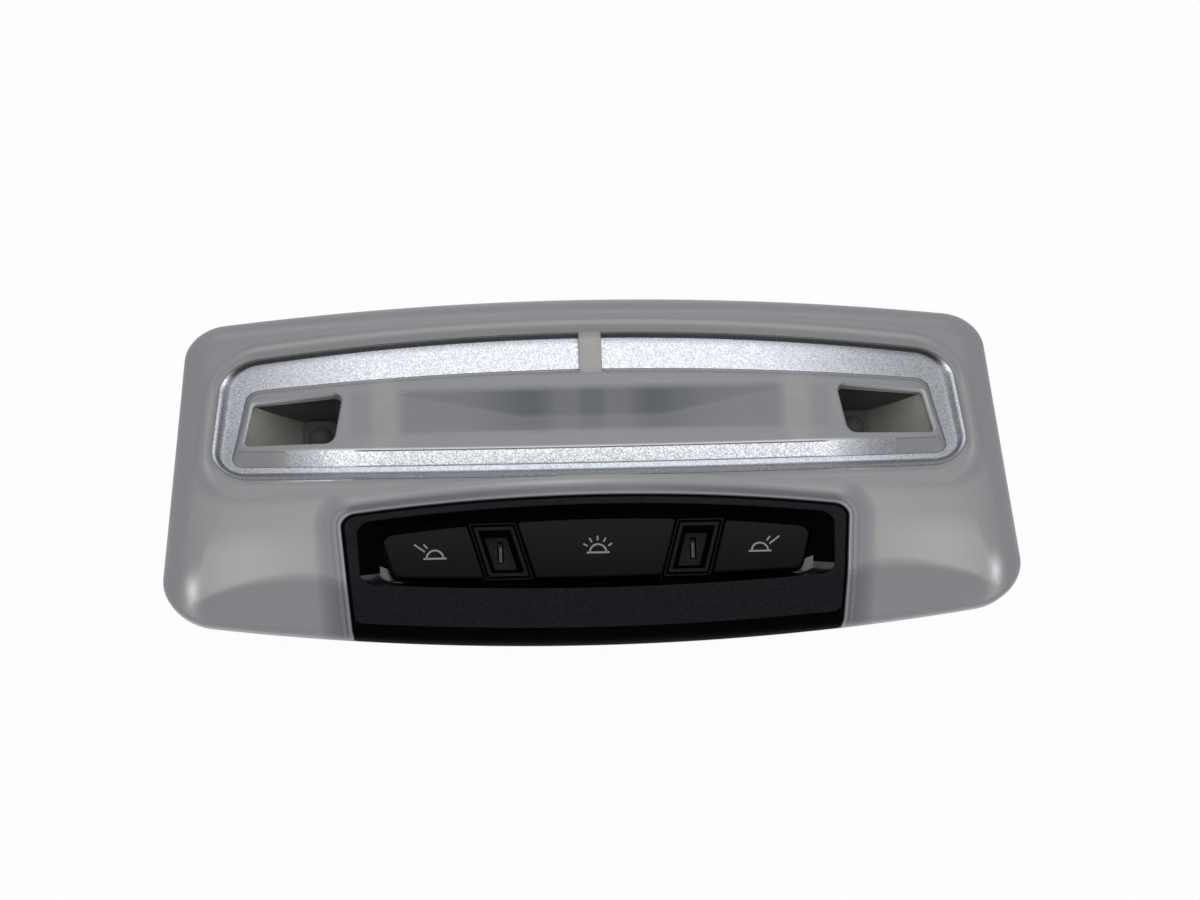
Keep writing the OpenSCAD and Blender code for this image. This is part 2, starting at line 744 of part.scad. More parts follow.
foot_x = window_x - well_shift;
foot_hw = well_foot_w / 2 - well_wall;
foot_hd = window_h / 2 - 0.6;
well_top = face_z([window_x + window_w / 2, window_y + window_h / 2], groove_depth + lens_floor + 0.2);
well_knee = board_top + 2.4;

// Ring of a well at a share of the way up from its foot to its window
function well_ring(share, grow, z) =
    let (top = window_points(grow), hw = foot_hw + grow, hd = foot_hd + grow, r = 1 + grow,
         foot = rounded([[foot_x + hw, window_y + hd], [foot_x - hw, window_y + hd],
                         [foot_x - hw, window_y - hd], [foot_x + hw, window_y - hd]],
                        [r, r, r, r], [1, 1, 1, 1]))
    [for (j = [0:len(top) - 1])
        let (p = foot[j] + (top[j] - foot[j]) * share) [p[0], p[1], z]];

module well_block(grow, over) {
    loft([well_ring(0, grow, board_top - over), well_ring(0.02, grow, well_knee),
          well_ring(0.55, grow, (well_knee + well_top) / 2 - 0.6), well_ring(1, grow, well_top + over)]);
}

module reading_well(side) {
    color([0.33, 0.34, 0.32]) on_side(side) difference() {
        well_block(well_wall, 0);
        well_block(0.05, film);
    }
}

// Small lens: a plate that fills the foot of the well, with a dome on it
module reading_optic(side) {
    plate_t = 0.8;
    hw = foot_hw - seat_gap;
    hd = foot_hd - seat_gap;
    color([0.8, 0.85, 0.88]) on_side(side) translate([foot_x, window_y, led_top + seat_gap]) {
        linear_extrude(plate_t)
            polygon(rounded([[hw, hd], [-hw, hd], [-hw, -hd], [hw, -hd]], [1, 1, 1, 1], [1, 1, 1, 1]));
        translate([0, 0, plate_t])
            rotate_extrude()
                intersection() {
                    translate([0, -optic_r * 0.6]) circle(r = optic_r * 1.17);
                    square([optic_r, optic_r]);
                }
    }
}

module led(x, y) {
    color(led_white)
        translate([x - led_w / 2, y - led_w / 2, board_top]) cube([led_w, led_w, led_h]);
}

function tray_ring(hw, hd, z) =
    [for (p = rounded([[hw, window_y + hd], [-hw, window_y + hd], [-hw, window_y - hd], [hw, window_y - hd]],
                      [1.5, 1.5, 1.5, 1.5], [1, 1, 1, 1]))
        [p[0], p[1], z]];

// White reflector behind the frosted middle of the lens, wider at its top
module diffuser_tray() {
    top = well_top - 0.1;
    taper = [9, 1];
    wall = tray_wall;
    hd = trim_in_d / 2 - tray_border;
    color(plastic_white) difference() {
        loft([tray_ring(tray_hw - taper[0], hd - taper[1], board_top), tray_ring(tray_hw, hd, top)]);
        loft([tray_ring(tray_hw - taper[0] - wall, hd - taper[1] - wall, board_top + wall),
              tray_ring(tray_hw - wall, hd - wall, top + film)]);
        for (side = [-1, 1])
            translate([side * dome_led_x, window_y, board_top])
                cube([led_w + 2 * seat_gap, led_w + 2 * seat_gap, 4 * wall], center = true);
    }
}

// Board, switches and connector

function body_outline(d) =
    let (inset = body_inset + d, r = body_corner_r - d)
    bowed([face_far_w / 2 - inset, face_w / 2 - inset], [far_y - inset, near_y + inset],
          [far_bow_r, near_bow_r], [r, r, r, r]);

screw_places = [
    [screw_x, far_y - screw_far_in], [-screw_x, far_y - screw_far_in],
    [-screw_x, near_y + screw_near_in], [screw_x, near_y + screw_near_in]
];

function terminal_x(i) = socket_x + (i - (terminals + 1) / 2) * terminal_pitch;

module circuit_board() {
    color(board_green) difference() {
        translate([0, 0, board_z])
            linear_extrude(board_t) polygon(body_outline(housing_wall + board_gap));
        for (p = screw_places)
            translate([p[0], p[1], board_z - 1]) cylinder(r = screw_r + 0.2, h = board_t + 2);
        for (i = [1:terminals])
            translate([terminal_x(i), 0, board_z - 1]) cylinder(r = terminal_w * 0.8, h = board_t + 2);
    }
}

module switch_body(x) {
    depth = plunger_in + key_travel + 0.2;
    color("dimgray") difference() {
        translate([x - switch_w / 2, keys_mid_y - switch_w / 2, board_top])
            cube([switch_w, switch_w, switch_h]);
        translate([x, keys_mid_y, switch_top - depth])
            cylinder(r = plunger_r + plunger_gap, h = depth + 1);
    }
}

module switch_plunger(x) {
    color("ivory")
        translate([x, keys_mid_y, switch_top - plunger_in])
            cylinder(r = plunger_r, h = plunger_top - switch_top + plunger_in);
}

mouth_z = 0.6;
socket_base = 1.2;

// Shroud of the plug socket, open towards the back, with a key slot in its near wall
module connector_shell() {
    outer = [socket_l + 2 * socket_wall, socket_w + 2 * socket_wall];
    color("white") difference() {
        translate([socket_x - outer[0] / 2, -outer[1] / 2, mouth_z])
            cube([outer[0], outer[1], board_z - mouth_z]);
        translate([socket_x - socket_l / 2, -socket_w / 2, mouth_z - 1])
            cube([socket_l, socket_w, board_z - socket_base - mouth_z + 1]);
        translate([socket_x - 1.5, -outer[1] / 2 - 1, mouth_z - 1])
            cube([3, socket_wall + 2, 4]);
        for (i = [1:terminals])
            translate([terminal_x(i), 0, board_z])
                cube([terminal_w + seat_gap, terminal_w + seat_gap, 3 * socket_base], center = true);
    }
}

module terminal(i) {
    length = 3;
    from = board_z - socket_base - length;
    color("gold")
        translate([terminal_x(i) - terminal_w / 2, -terminal_w / 2, from])
            cube([terminal_w, terminal_w, board_top + 0.8 - from]);
}

module board_screw(p) {
    head_r = 2.3;
    color("lightgray") translate([p[0], p[1], 0]) difference() {
        union() {
            translate([0, 0, board_z - 5.2]) cylinder(r = screw_r, h = board_t + 5.2);
            translate([0, 0, board_top]) cylinder(r = head_r, h = 1.5);
        }
        for (turn = [0, 90])
            rotate(turn)
                translate([-1.5, -0.25, board_top + 0.6]) cube([3, 0.5, 2]);
    }
}

// Housing

// Front view of the housing's body: deep in the middle and stepped up at both ends
module body_profile(d) {
    offset(delta = -d)
        polygon([
            [-face_w, step_h], [-deep_hw, step_h], [-deep_hw + step_h, 0], [deep_hw - step_h, 0],
            [deep_hw, step_h], [face_w, step_h], [face_w, above], [-face_w, above]
        ]);
}

module body_block(d) {
    intersection() {
        linear_extrude(seat_z + film) polygon(body_outline(d));
        rotate([90, 0, 0]) translate([0, 0, -face_d]) linear_extrude(2 * face_d) body_profile(d);
    }
}

module rear_housing() {
    vent_pitch = 5;
    vent_w = 1.8;
    vent_y = far_y * 0.22;
    vent_l = far_y * 0.35;
    hook_gap = 0.4;
    socket_hole = [socket_l + 2 * socket_wall + 0.4, socket_w + 2 * socket_wall + 0.4];
    color([0.2, 0.2, 0.21]) difference() {
        union() {
            body_block(0);
            translate([0, 0, seat_z])
                linear_extrude(flange_t) polygon(face_outline(flange_inset, flange_inset));
            locating_lip();
        }
        difference() {
            body_block(housing_wall);
            for (p = screw_places)
                translate([p[0], p[1], 0]) cylinder(r = boss_r, h = board_z);
        }
        translate([0, 0, seat_z - 1]) linear_extrude(flange_t + 2) polygon(body_outline(housing_wall));
        for (p = screw_places)
            translate([p[0], p[1], board_z - 5.6]) cylinder(r = screw_r + screw_gap, h = 6);
        translate([socket_x, 0, 0]) cube([socket_hole[0], socket_hole[1], 3 * housing_wall], center = true);
        for (side = [-1, 1], k = [1:vent_slots])
            translate([side * vent_x + (k - (vent_slots + 1) / 2) * vent_pitch - vent_w / 2, vent_y, -1])
                cube([vent_w, vent_l, housing_wall + 2]);
        for (side = [-1, 1], far = [false, true])
            at_wall(far, side * (far ? lens_snap_x : panel_snap_x))
                translate([-snap_w / 2 - 0.5, -housing_wall - 1, snap_z - hook_gap])
                    cube([snap_w + 1, housing_wall + 2, 2 + 2 * hook_gap]);
        for (i = [1:4]) clip_place(i) clip_pocket();
    }
}

// Low lip inside the lens's rim, along its far edge and its ends
module locating_lip() {
    d = lens_wall + locating_gap;
    translate([0, 0, seat_z])
        linear_extrude(flange_t + locating_h)
            difference() {
                polygon(face_outline(d, d));
                polygon(face_outline(d + 1.2, d + 1.2));
                translate([-face_w, near_y - lens_wall]) square([2 * face_w, flank_w + 2 * lens_wall]);
            }
}

// Spring clips

clip_top = seat_z - 2.8;
clip_foot = 4;

module clip_place(i) {
    at_wall(i < 3, i % 2 == 1 ? clip_x : -clip_x) children();
}

module clip_pocket() {
    translate([-clip_w / 2 - 0.3, -clip_pocket, clip_foot - 1.4])
        cube([clip_w + 0.6, clip_pocket + 1, clip_top - clip_foot + 2]);
    translate([-clip_w / 2 + 1.2, -housing_wall - 1, clip_top - clip_t / 2 - 0.15])
        cube([clip_w - 2.4, housing_wall + 1, clip_t + 0.3]);
}

// Points at a distance to the left of a path
function beside(path, off) = [
    for (i = [0:len(path) - 1])
        let (a = i == 0 ? path[1] - path[0] : path[i] - path[i - 1],
             b = i == len(path) - 1 ? a : path[i + 1] - path[i],
             left_a = unit([-a[1], a[0]]), left_b = unit([-b[1], b[0]]))
        path[i] + (left_a + left_b) * off / (1 + left_a * left_b)
];

module strip_2d(path) {
    polygon(concat(beside(path, clip_t / 2), reversed(beside(path, -clip_t / 2))));
}

// Folded sheet spring: a leg in its pocket, hooked through the wall, and a bowed arm
module spring_clip(i) {
    leg = -clip_pocket + 0.05 + clip_t / 2;
    reach = clip_reach - clip_t / 2;
    color("silver") clip_place(i) {
        along_x(clip_w)
            strip_2d([
                [leg, clip_top - 0.8], [leg, clip_foot], [leg + 0.3, clip_foot - 0.7],
                [leg + 0.9, clip_foot - 0.8], [leg + 1.4, clip_foot - 0.2],
                [reach - 0.3, clip_foot + 5.6], [reach, clip_foot + 7.4], [reach - 0.4, clip_foot + 8.8],
                [0.5, clip_top - 0.6]
            ]);
        along_x(clip_w - 3)
            strip_2d([[leg, clip_top - 0.8 - film], [leg, clip_top], [-housing_wall + 0.2, clip_top]]);
    }
}

lens_cover();
trim_ring();
switch_panel();
for (k = key_places) {
    key(k[0], k[1]);
    switch_body(k[1]);
    switch_plunger(k[1]);
}
for (s = sides) {
    port_frame(s[1]);
    light_pipe(s[1]);
    reading_well(s[1]);
    reading_optic(s[1]);
    led(s[1] * foot_x, window_y);
    led(s[1] * dome_led_x, window_y);
    led(s[1] * port_x, keys_mid_y);
}
diffuser_tray();
circuit_board();
connector_shell();
for (i = [1:terminals])
    terminal(i);
rear_housing();
for (i = [1:4]) {
    spring_clip(i);
    board_screw(screw_places[i - 1]);
}
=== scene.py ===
"""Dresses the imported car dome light: smooth mouldings, trim ring, keys, icons and their finishes.

Sizes are in millimetres, as in the CAD source, and become metres as each mesh is made.
X runs across the car, +Y to the far edge and +Z out of the lens.
"""
import math

import bpy
import numpy as np
from mathutils import Matrix, Vector


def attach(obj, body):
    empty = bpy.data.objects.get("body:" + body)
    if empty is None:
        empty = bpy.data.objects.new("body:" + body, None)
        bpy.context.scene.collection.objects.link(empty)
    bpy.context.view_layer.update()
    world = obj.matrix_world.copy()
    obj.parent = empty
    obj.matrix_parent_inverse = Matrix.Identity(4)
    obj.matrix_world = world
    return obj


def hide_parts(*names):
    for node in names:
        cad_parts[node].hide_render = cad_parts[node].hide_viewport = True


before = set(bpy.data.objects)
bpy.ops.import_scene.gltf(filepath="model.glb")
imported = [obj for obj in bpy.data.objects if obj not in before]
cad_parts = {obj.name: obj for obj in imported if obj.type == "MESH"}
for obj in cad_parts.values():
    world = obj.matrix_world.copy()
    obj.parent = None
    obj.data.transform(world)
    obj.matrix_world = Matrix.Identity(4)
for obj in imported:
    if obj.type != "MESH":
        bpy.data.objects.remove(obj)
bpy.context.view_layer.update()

MM = 0.001

# In a pair, the far edge's value comes first. HW is half a width, W a width, T a thickness, H a height and
# BOW the radius of a bowed edge.

# Face of the lamp. Its widths are a hair under the CAD model's, whose arcs are facets.
FACE_W, FACE_FAR_W, FACE_D = 179.98, 168.98, 74.0
FAR_Y, NEAR_Y = FACE_D / 2, -FACE_D / 2
FAR_BOW, NEAR_BOW = 690.0, 570.0
FAR_CORNER, NEAR_CORNER = 8.2, 9.8
FLANGE_Z = 20.0
RIM_Z = FLANGE_Z + 2.3
FACE_Z = FLANGE_Z + 8.5
CROWN_R = 1200.0
TILT = math.tan(math.radians(2))
ROLL_W, FLANK_W, FLANK_LIP, LIP_WAY = 5.4, 10.3, 0.42, 0.1
LENS_T, LENS_FLOOR, LENS_WALL = 2.0, 1.2, 2.0

# Widths of the roll and of the near slope inside the lens, foot of the pieces that stand on the flange, and
# a height above the whole lamp, for cuts
UNDER_W = (ROLL_W - 1.8, FLANK_W - LENS_WALL)
FOOT_Z = FLANGE_Z + 0.5
ABOVE = 45.0

# Recess and trim ring
RECESS_HW = (76.0, 79.0)
RECESS_Y = (27.7, -1.6)
RECESS_BOW = (600.0, 2400.0)
RECESS_CORNER = 7.0
ISLAND_DEPTH, LIP_H, TRIM_T = 0.9, 1.3, 0.8
TRIM_DEPTH = ISLAND_DEPTH + LIP_H
GROOVE_DEPTH = TRIM_DEPTH + TRIM_T
LIP_W = LIP_SLOPE = 0.5
SLOPE_SIDE, SLOPE_EDGE = 1.4, 2.4
INSIDE_HW = (71.8, 75.4)
INSIDE_Y = (20.9, 0.45)
INSIDE_BOW = 850.0
BEVEL_W, FAR_BEVEL_W, END_BEVEL_W = 3.3, 1.2, 1.5
PLATE_HW, PLATE_LINE_HW, PLATE_LIFT = 64.0, 48.0, 0.072
BRIDGE_HW, BRIDGE_H = 2.4, 2.2
TRIM_GAP = 0.08
WALL_W, NEAR_WALL_W = 1.3, 1.0

# Middle of the windows and their wells, and the step under the lens from its thick middle to its thin skin,
# as widths outside the groove at the ends and along the edges
MIDDLE_Y = 10.425
STEP_IN, STEP_OUT = (0.9, 1.5), (1.3, 2.3)

# Reading windows
WINDOW_X, WINDOW_W, WINDOW_Y = 62.3, 18.7, (MIDDLE_Y + 6.4, MIDDLE_Y - 4.5)
WINDOW_LEAN, WINDOW_FALL = 2.0, 1.8
COLLAR_W, COLLAR_H, COLLAR_ROUND = 0.5, 2.0, 0.42
WINDOW_RADII = (1.0, 1.6, 2.4, 0.8)
FOOT_X, FOOT_HW, FOOT_HD = WINDOW_X - 5.0, 3.5, 3.88
WELL_WALL, WELL_GAP = 1.0, 0.05
BOARD_TOP = 10.6

# Switch panel and its scoop
PANEL_HW, PANEL_CORNER = (52.6, 50.24), 2.6
PANEL_FAR_Y = -7.1
PANEL_BOW = 450.0
PANEL_GAP, PANEL_PROUD, PANEL_T = 0.2, 0.25, 1.6
SCOOP_HW, SCOOP_Y = 49.6, (-8.9, -26.6)
SCOOP_Z = FLANGE_Z + 5.7
SCOOP_END, SCOOP_SIDE = 4.2, 1.3
KEYS_HW = (45.5, 41.9)
KEYS_Y = (-11.3, -24.4)
KEYS_BOW = (370.0, 930.0)
KEYS_MID = sum(KEYS_Y) / 2
PANEL_UNDER = SCOOP_Z - PANEL_T

# Keys
KEY_GAP, KEY_H = 0.3, 2.1
KEY_FOOT = PANEL_UNDER - 1.1
KEY_TILT = math.tan(math.radians(6))
KEY_ROUND = 0.45
PORT_IN, PORT_OUT, PORT_GAP, PORT_LEAN = 15.0, 25.0, 0.12, 0.29
PORT_X, PORT_HW = (PORT_IN + PORT_OUT) / 2, (PORT_OUT - PORT_IN) / 2
PORT_Y = (KEYS_Y[0] - 0.75, KEYS_Y[1] + 0.3)
PORT_TOP, PORT_FLOOR, PORT_BASE = SCOOP_Z + 1.2, SCOOP_Z - 1.2, PANEL_UNDER - 0.1
GUIDE_W, GUIDE_L, LED_TOP = 1.3, 4.6, 11.6

# Snap arms
BODY_INSET, HOUSING_WALL, SNAP_GAP = 7.4, 1.8, 0.3
SNAP_W, SNAP_T, SNAP_Z, HOOK_H, HOOK_OUT = 8.0, 1.4, 12.0, 2.0, 0.5

# Steps in each corner of an outline, and along the far edge, an end, the near edge and the other end
CORNER_STEPS = 12
FINE = (96, 24, 96, 24)

# Sides of the lamp, by the sign of X
SIDES = {-1: "left", 1: "right"}


# Outlines, as arrays of points

def unit(v):
    """Vector of length 1 along v."""
    return v / np.linalg.norm(v)


def rounded(corners, radii, steps):
    """Anticlockwise outline through corners: an arc of its radius in each, and each edge in equal steps."""
    corners = np.array(corners, float)
    arcs = []
    for i, (q, r) in enumerate(zip(corners, radii)):
        a, b = unit(corners[i - 1] - q), unit(corners[(i + 1) % len(corners)] - q)
        half = math.acos(a @ b) / 2
        centre = q + unit(a + b) * r / math.sin(half)
        start = q + a * r / math.tan(half) - centre
        turn = np.linspace(0, math.pi - 2 * half, CORNER_STEPS + 1)[:, None]
        arcs.append(centre + np.cos(turn) * start + np.sin(turn) * np.array([-start[1], start[0]]))
    runs = []
    for i, arc in enumerate(arcs):
        ahead = arcs[(i + 1) % len(arcs)][0]
        share = np.arange(1, steps[i])[:, None] / steps[i]
        runs += [arc, arc[-1] + (ahead - arc[-1]) * share]
    return np.concatenate(runs)


def four_sided(far, near, y, radii, steps):
    """Rounded outline from the right and left ends of its far edge and of its near edge."""
    return rounded([(far[0], y[0]), (far[1], y[0]), (near[1], y[1]), (near[0], y[1])], radii, steps)


def bowed(hw, y, bow, radii, steps=FINE):
    """Rounded trapezoid whose far and near edges bow outwards: y moves by x squared over twice the radius."""
    p = four_sided((hw[0], -hw[0]), (hw[1], -hw[1]), y, radii, steps)
    share = (p[:, 1] - y[1]) / (y[0] - y[1])
    p[:, 1] += p[:, 0] ** 2 / 2 * ((1 - share) / bow[1] - share / bow[0])
    return p


# Bowed shapes: half widths and Y of the far and the near edge, and the radii that they are bowed by
FACE = ((FACE_FAR_W / 2, FACE_W / 2), (FAR_Y, NEAR_Y), (FAR_BOW, NEAR_BOW))
RECESS = (RECESS_HW, RECESS_Y, RECESS_BOW)
INSIDE = (INSIDE_HW, INSIDE_Y, (INSIDE_BOW, RECESS_BOW[1]))
PANEL_EDGE = (PANEL_HW, (PANEL_FAR_Y, NEAR_Y), (PANEL_BOW, NEAR_BOW))
KEYS = (KEYS_HW, KEYS_Y, KEYS_BOW)


def drawn_in(shape, ends, far, near, radii, steps=FINE):
    """Outline of a bowed shape with its ends, its far edge and its near edge moved in by a width each."""
    (far_hw, near_hw), (far_y, near_y), bow = shape
    return bowed((far_hw - ends, near_hw - ends), (far_y - far, near_y + near), bow, radii, steps)


def face_outline(side, near):
    """Outline of the face, with its far edge and ends moved in by one width and its near edge by another."""
    far_r, near_r = max(FAR_CORNER - side, 1), max(NEAR_CORNER - side, 1)
    return drawn_in(FACE, side, side, near, (far_r, far_r, near_r, near_r))


def recess_outline(side, edge):
    """Outline of the recess, with its ends moved in by one width and its far and near edges by another."""
    return drawn_in(RECESS, side, edge, edge, (RECESS_CORNER - side,) * 4)


def trim_inside(inset):
    """Inside of the trim ring's floor, where the bevel of the island begins."""
    return drawn_in(INSIDE, inset, inset, inset, (3, 3, 2.5, 2.5))


def island_outline():
    """Edge of the island's flat middle, where its bevel ends."""
    return bowed((INSIDE_HW[0] - FAR_BEVEL_W, INSIDE_HW[1] - END_BEVEL_W),
                 (INSIDE_Y[0] - FAR_BEVEL_W, INSIDE_Y[1] + BEVEL_W), INSIDE[2], (2.2, 2.2, 2, 2))


def window_outline(grow):
    """Outline of the right reading window, grown outwards."""
    out, inner = WINDOW_X + WINDOW_W / 2 + grow, WINDOW_X - WINDOW_W / 2 - grow
    far, near = WINDOW_Y[0] + grow, WINDOW_Y[1] - grow
    lean = WINDOW_LEAN / 2
    corners = [(out - lean, far - WINDOW_FALL), (inner - lean, far), (inner + lean, near), (out + lean, near)]
    return rounded(corners, [r + grow for r in WINDOW_RADII], (12, 8, 12, 8))


# Shares and profiles

def smooth(t):
    """0 below 0, 1 above 1, and an S curve between."""
    t = np.clip(t, 0, 1)
    return t * t * (3 - 2 * t)


def rise(value, start, end):
    """0 at and before a start, 1 at and beyond an end that may be lower than it, and an S curve between."""
    return smooth((value - start) / (end - start))


def bell(distance, width):
    """1 at no distance and 0 far off, along a bell curve."""
    return np.exp(-(distance / width) ** 2)


def bells(value, lines):
    """Sum of bell curves, each with its place, its width and its height."""
    return sum(height * bell(value - place, width) for place, width, height in lines)


# Heights

def face_z(p, depth):
    """Height at a depth under the crowned and tilted face: an arc across X, a straight rise along -Y."""
    return FACE_Z - depth - p[:, 1] * TILT + np.sqrt(CROWN_R ** 2 - p[:, 0] ** 2) - CROWN_R


def at_depth(p, depth):
    """Points of an outline at a depth under the face."""
    return np.column_stack([p, face_z(p, depth)])


def at_height(p, z):
    """Points of an outline at one height, or at a height each."""
    return np.column_stack([p, np.broadcast_to(z, len(p))])


def rolled(way):
    """Share of the drop left at a share of the way in from a rounded edge: a quarter circle."""
    return 1 - np.sqrt(1 - (1 - way) ** 2)


def flanked(way):
    """Share of the drop left at a share of the way in from the near edge: a tight lip, then a slope."""
    lip = 1 - FLANK_LIP * np.sqrt(np.clip(way, 0, LIP_WAY) / LIP_WAY)
    slope = (1 - FLANK_LIP) * (1 - way) / (1 - LIP_WAY)
    return np.where(way < LIP_WAY, lip, np.maximum(slope, 0))


def near_share():
    """1 along the near edge of an outline, 0 along the far edge and the ends, and a ramp in each corner."""
    ramp = np.arange(CORNER_STEPS + 1) / CORNER_STEPS
    before = np.zeros(2 * (CORNER_STEPS + 1) + FINE[0] - 1 + FINE[1] - 1)
    return np.concatenate([before, ramp, np.ones(FINE[2] - 1), 1 - ramp, np.zeros(FINE[3] - 1)])


def edge_ring(way, inset, widths, depth, rim):
    """Ring on the rolled edge of the face, or of a skin inside it, at a share of the way in.

    Its near run lies on the near slope, whose width varies.
    """
    p = face_outline(inset + way * widths[0], inset + way * widths[1])
    p[:, 1] -= way * (FLANK_W - flank_width(p[:, 0])) * near_share()
    top = face_z(p, depth)
    share = rolled(way) + near_share() * (flanked(way) - rolled(way))
    return at_height(p, top - (top - rim) * share)


def flank_width(x):
    """Width of the near slope: more beside the panel's ends, then less as a parabola to the corners."""
    return FLANK_W + 2 * rise(np.abs(x), 50, 59) - 9 * (np.clip(np.abs(x) - 58, 0, 26) / 26) ** 2


def near_way(p):
    """Share of the way from the near edge of the face to the top of its near slope."""
    return (p[:, 1] - NEAR_Y - p[:, 0] ** 2 / 2 / NEAR_BOW) / flank_width(p[:, 0])


def near_surface(p):
    """Height of the face at points away from its ends: the crowned face, less the drop of the near slope."""
    way = near_way(p)
    top = face_z(p, 0)
    return top - (top - RIM_Z) * np.where(way < 1, flanked(np.clip(way, 0, 1)), 0)


def shrunk(p, centre, share):
    """Outline drawn in towards a centre, to a share of its size."""
    return centre + (p - centre) * share


# Meshes

def new_object(name, data):
    """Object with its data, linked to the scene."""
    made = bpy.data.objects.new(name, data)
    bpy.context.scene.collection.objects.link(made)
    return made


def make_piece(name, points, faces, finish, body="lamp", slot=None, stands_for=()):
    """Object from points in millimetres, its faces turned outwards by the sign of the volume they close."""
    points = np.asarray(points, float) * MM
    first = np.array([f[0] for f in faces])
    volume = 0.0
    for step in range(1, max(len(f) for f in faces) - 1):
        rows = [k for k, f in enumerate(faces) if len(f) > step + 1]
        second = np.array([faces[k][step] for k in rows])
        third = np.array([faces[k][step + 1] for k in rows])
        cross = np.cross(points[second], points[third])
        volume += np.einsum("ij,ij->", points[first[rows]], cross)
    if volume < 0:
        faces = [f[::-1] for f in faces]
    mesh = bpy.data.meshes.new(name)
    mesh.from_pydata(points.tolist(), [], [list(map(int, f)) for f in faces])
    mesh.materials.append(finish)
    mesh.update()
    piece = new_object(name, mesh)
    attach(piece, body)
    if stands_for:
        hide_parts(*stands_for)
    return piece


def loft(rings, joined=False):
    """Points and faces of a solid through rings of as many points each.

    Each quad spans two neighbouring rings. The ends are closed by one face each, or joined to each other.
    """
    rings = np.asarray(rings, float)
    count, n = rings.shape[:2]
    index = np.arange(count * n).reshape(count, n)
    near = index if joined else index[:-1]
    ahead = np.roll(index, -1, axis=0) if joined else index[1:]
    quads = np.stack([near, np.roll(near, -1, axis=1), np.roll(ahead, -1, axis=1), ahead], axis=-1)
    faces = quads.reshape(-1, 4).tolist()
    if not joined:
        faces += [index[0][::-1].tolist(), index[-1].tolist()]
    return rings.reshape(-1, 3), faces


def prism(p, low, high):
    """Upright solid on an outline, between two heights."""
    return loft([at_height(p, low), at_height(p, high)])


def soften(piece, angle=32):
    """Smooth shading, with an edge kept where the surface turns by more than an angle."""
    piece.data.polygons.foreach_set("use_smooth", [True] * len(piece.data.polygons))
    piece.data.set_sharp_from_angle(angle=math.radians(angle))
    return piece


def toned(piece, values):
    """Keeps the tone of each vertex on the mesh of a lens or trim piece, for its material."""
    kept = piece.data.attributes.new("tone", "FLOAT", "POINT")
    kept.data.foreach_set("value", np.asarray(values, np.float32))
    return piece


def make_rows(name, rows, tones, finish, slot, stands_for=()):
    """Smooth piece through rows of points that run along it, with the tone of each point."""
    piece = make_piece(name, *loft(np.stack(rows, axis=1)), finish, slot=slot, stands_for=stands_for)
    return toned(soften(piece), np.stack(tones, axis=1).ravel())


def finished(piece, finishes, bands):
    """Piece with more finishes after its first, and the number of one of them for each face."""
    for finish in finishes:
        piece.data.materials.append(finish)
    piece.data.polygons.foreach_set("material_index", bands)
    return piece


def vertices(piece):
    """Vertices of a piece, in millimetres."""
    flat = np.empty(len(piece.data.vertices) * 3)
    piece.data.vertices.foreach_get("co", flat)
    return flat.reshape(-1, 3) / MM


def cut(piece, *shapes):
    """Cuts closed shapes, given as points and faces, out of a piece, and keeps the result as its mesh."""
    for points, faces in shapes:
        mesh = bpy.data.meshes.new("cutter")
        mesh.from_pydata((np.asarray(points) * MM).tolist(), [], faces)
        cutter = new_object("cutter", mesh)
        step = piece.modifiers.new("cut", "BOOLEAN")
        step.operation = "DIFFERENCE"
        step.solver = "EXACT"
        step.object = cutter
        bpy.context.view_layer.update()
        made = bpy.data.meshes.new_from_object(piece.evaluated_get(bpy.context.evaluated_depsgraph_get()))
        piece.modifiers.clear()
        piece.data = made
        bpy.data.objects.remove(cutter)
    return piece


def on_side(side, shape):
    """Shape as it stands on the right, or mirrored to the left with its faces turned back outwards."""
    points, faces = shape
    return (points * [-1, 1, 1], [f[::-1] for f in faces]) if side < 0 else shape


# Materials

def srgb(code):
    """Linear RGBA of an sRGB hex colour."""
    values = [int(code[i:i + 2], 16) / 255 for i in (1, 3, 5)]
    linear = [v / 12.92 if v <= 0.04045 else ((v + 0.055) / 1.055) ** 2.4 for v in values]
    return (*linear, 1.0)


def feed(tree, node, inputs):
    """Links each input that is given as a node, by its first output, or as a socket. Any other is a value."""
    for key, value in inputs.items():
        source = value.outputs[0] if isinstance(value, bpy.types.Node) else value
        if isinstance(source, bpy.types.NodeSocket):
            tree.links.new(source, node.inputs[key])
        else:
            node.inputs[key].default_value = source


def add(tree, kind, inputs=None, **settings):
    """Adds a node with its settings and its inputs."""
    node = tree.nodes.new("ShaderNode" + kind)
    for key, value in settings.items():
        setattr(node, key, value)
    feed(tree, node, inputs or {})
    return node


def empty_tree(owner):
    """Node tree of a material or world, with nothing in it."""
    owner.use_nodes = True
    owner.node_tree.nodes.clear()
    return owner.node_tree


def new_material(name):
    """Material with its tree, its shader and its object coordinates in metres."""
    material = bpy.data.materials.new(name)
    tree = empty_tree(material)
    shader = add(tree, "BsdfPrincipled")
    add(tree, "OutputMaterial", {"Surface": shader})
    return material, tree, shader, add(tree, "TexCoord").outputs["Object"]


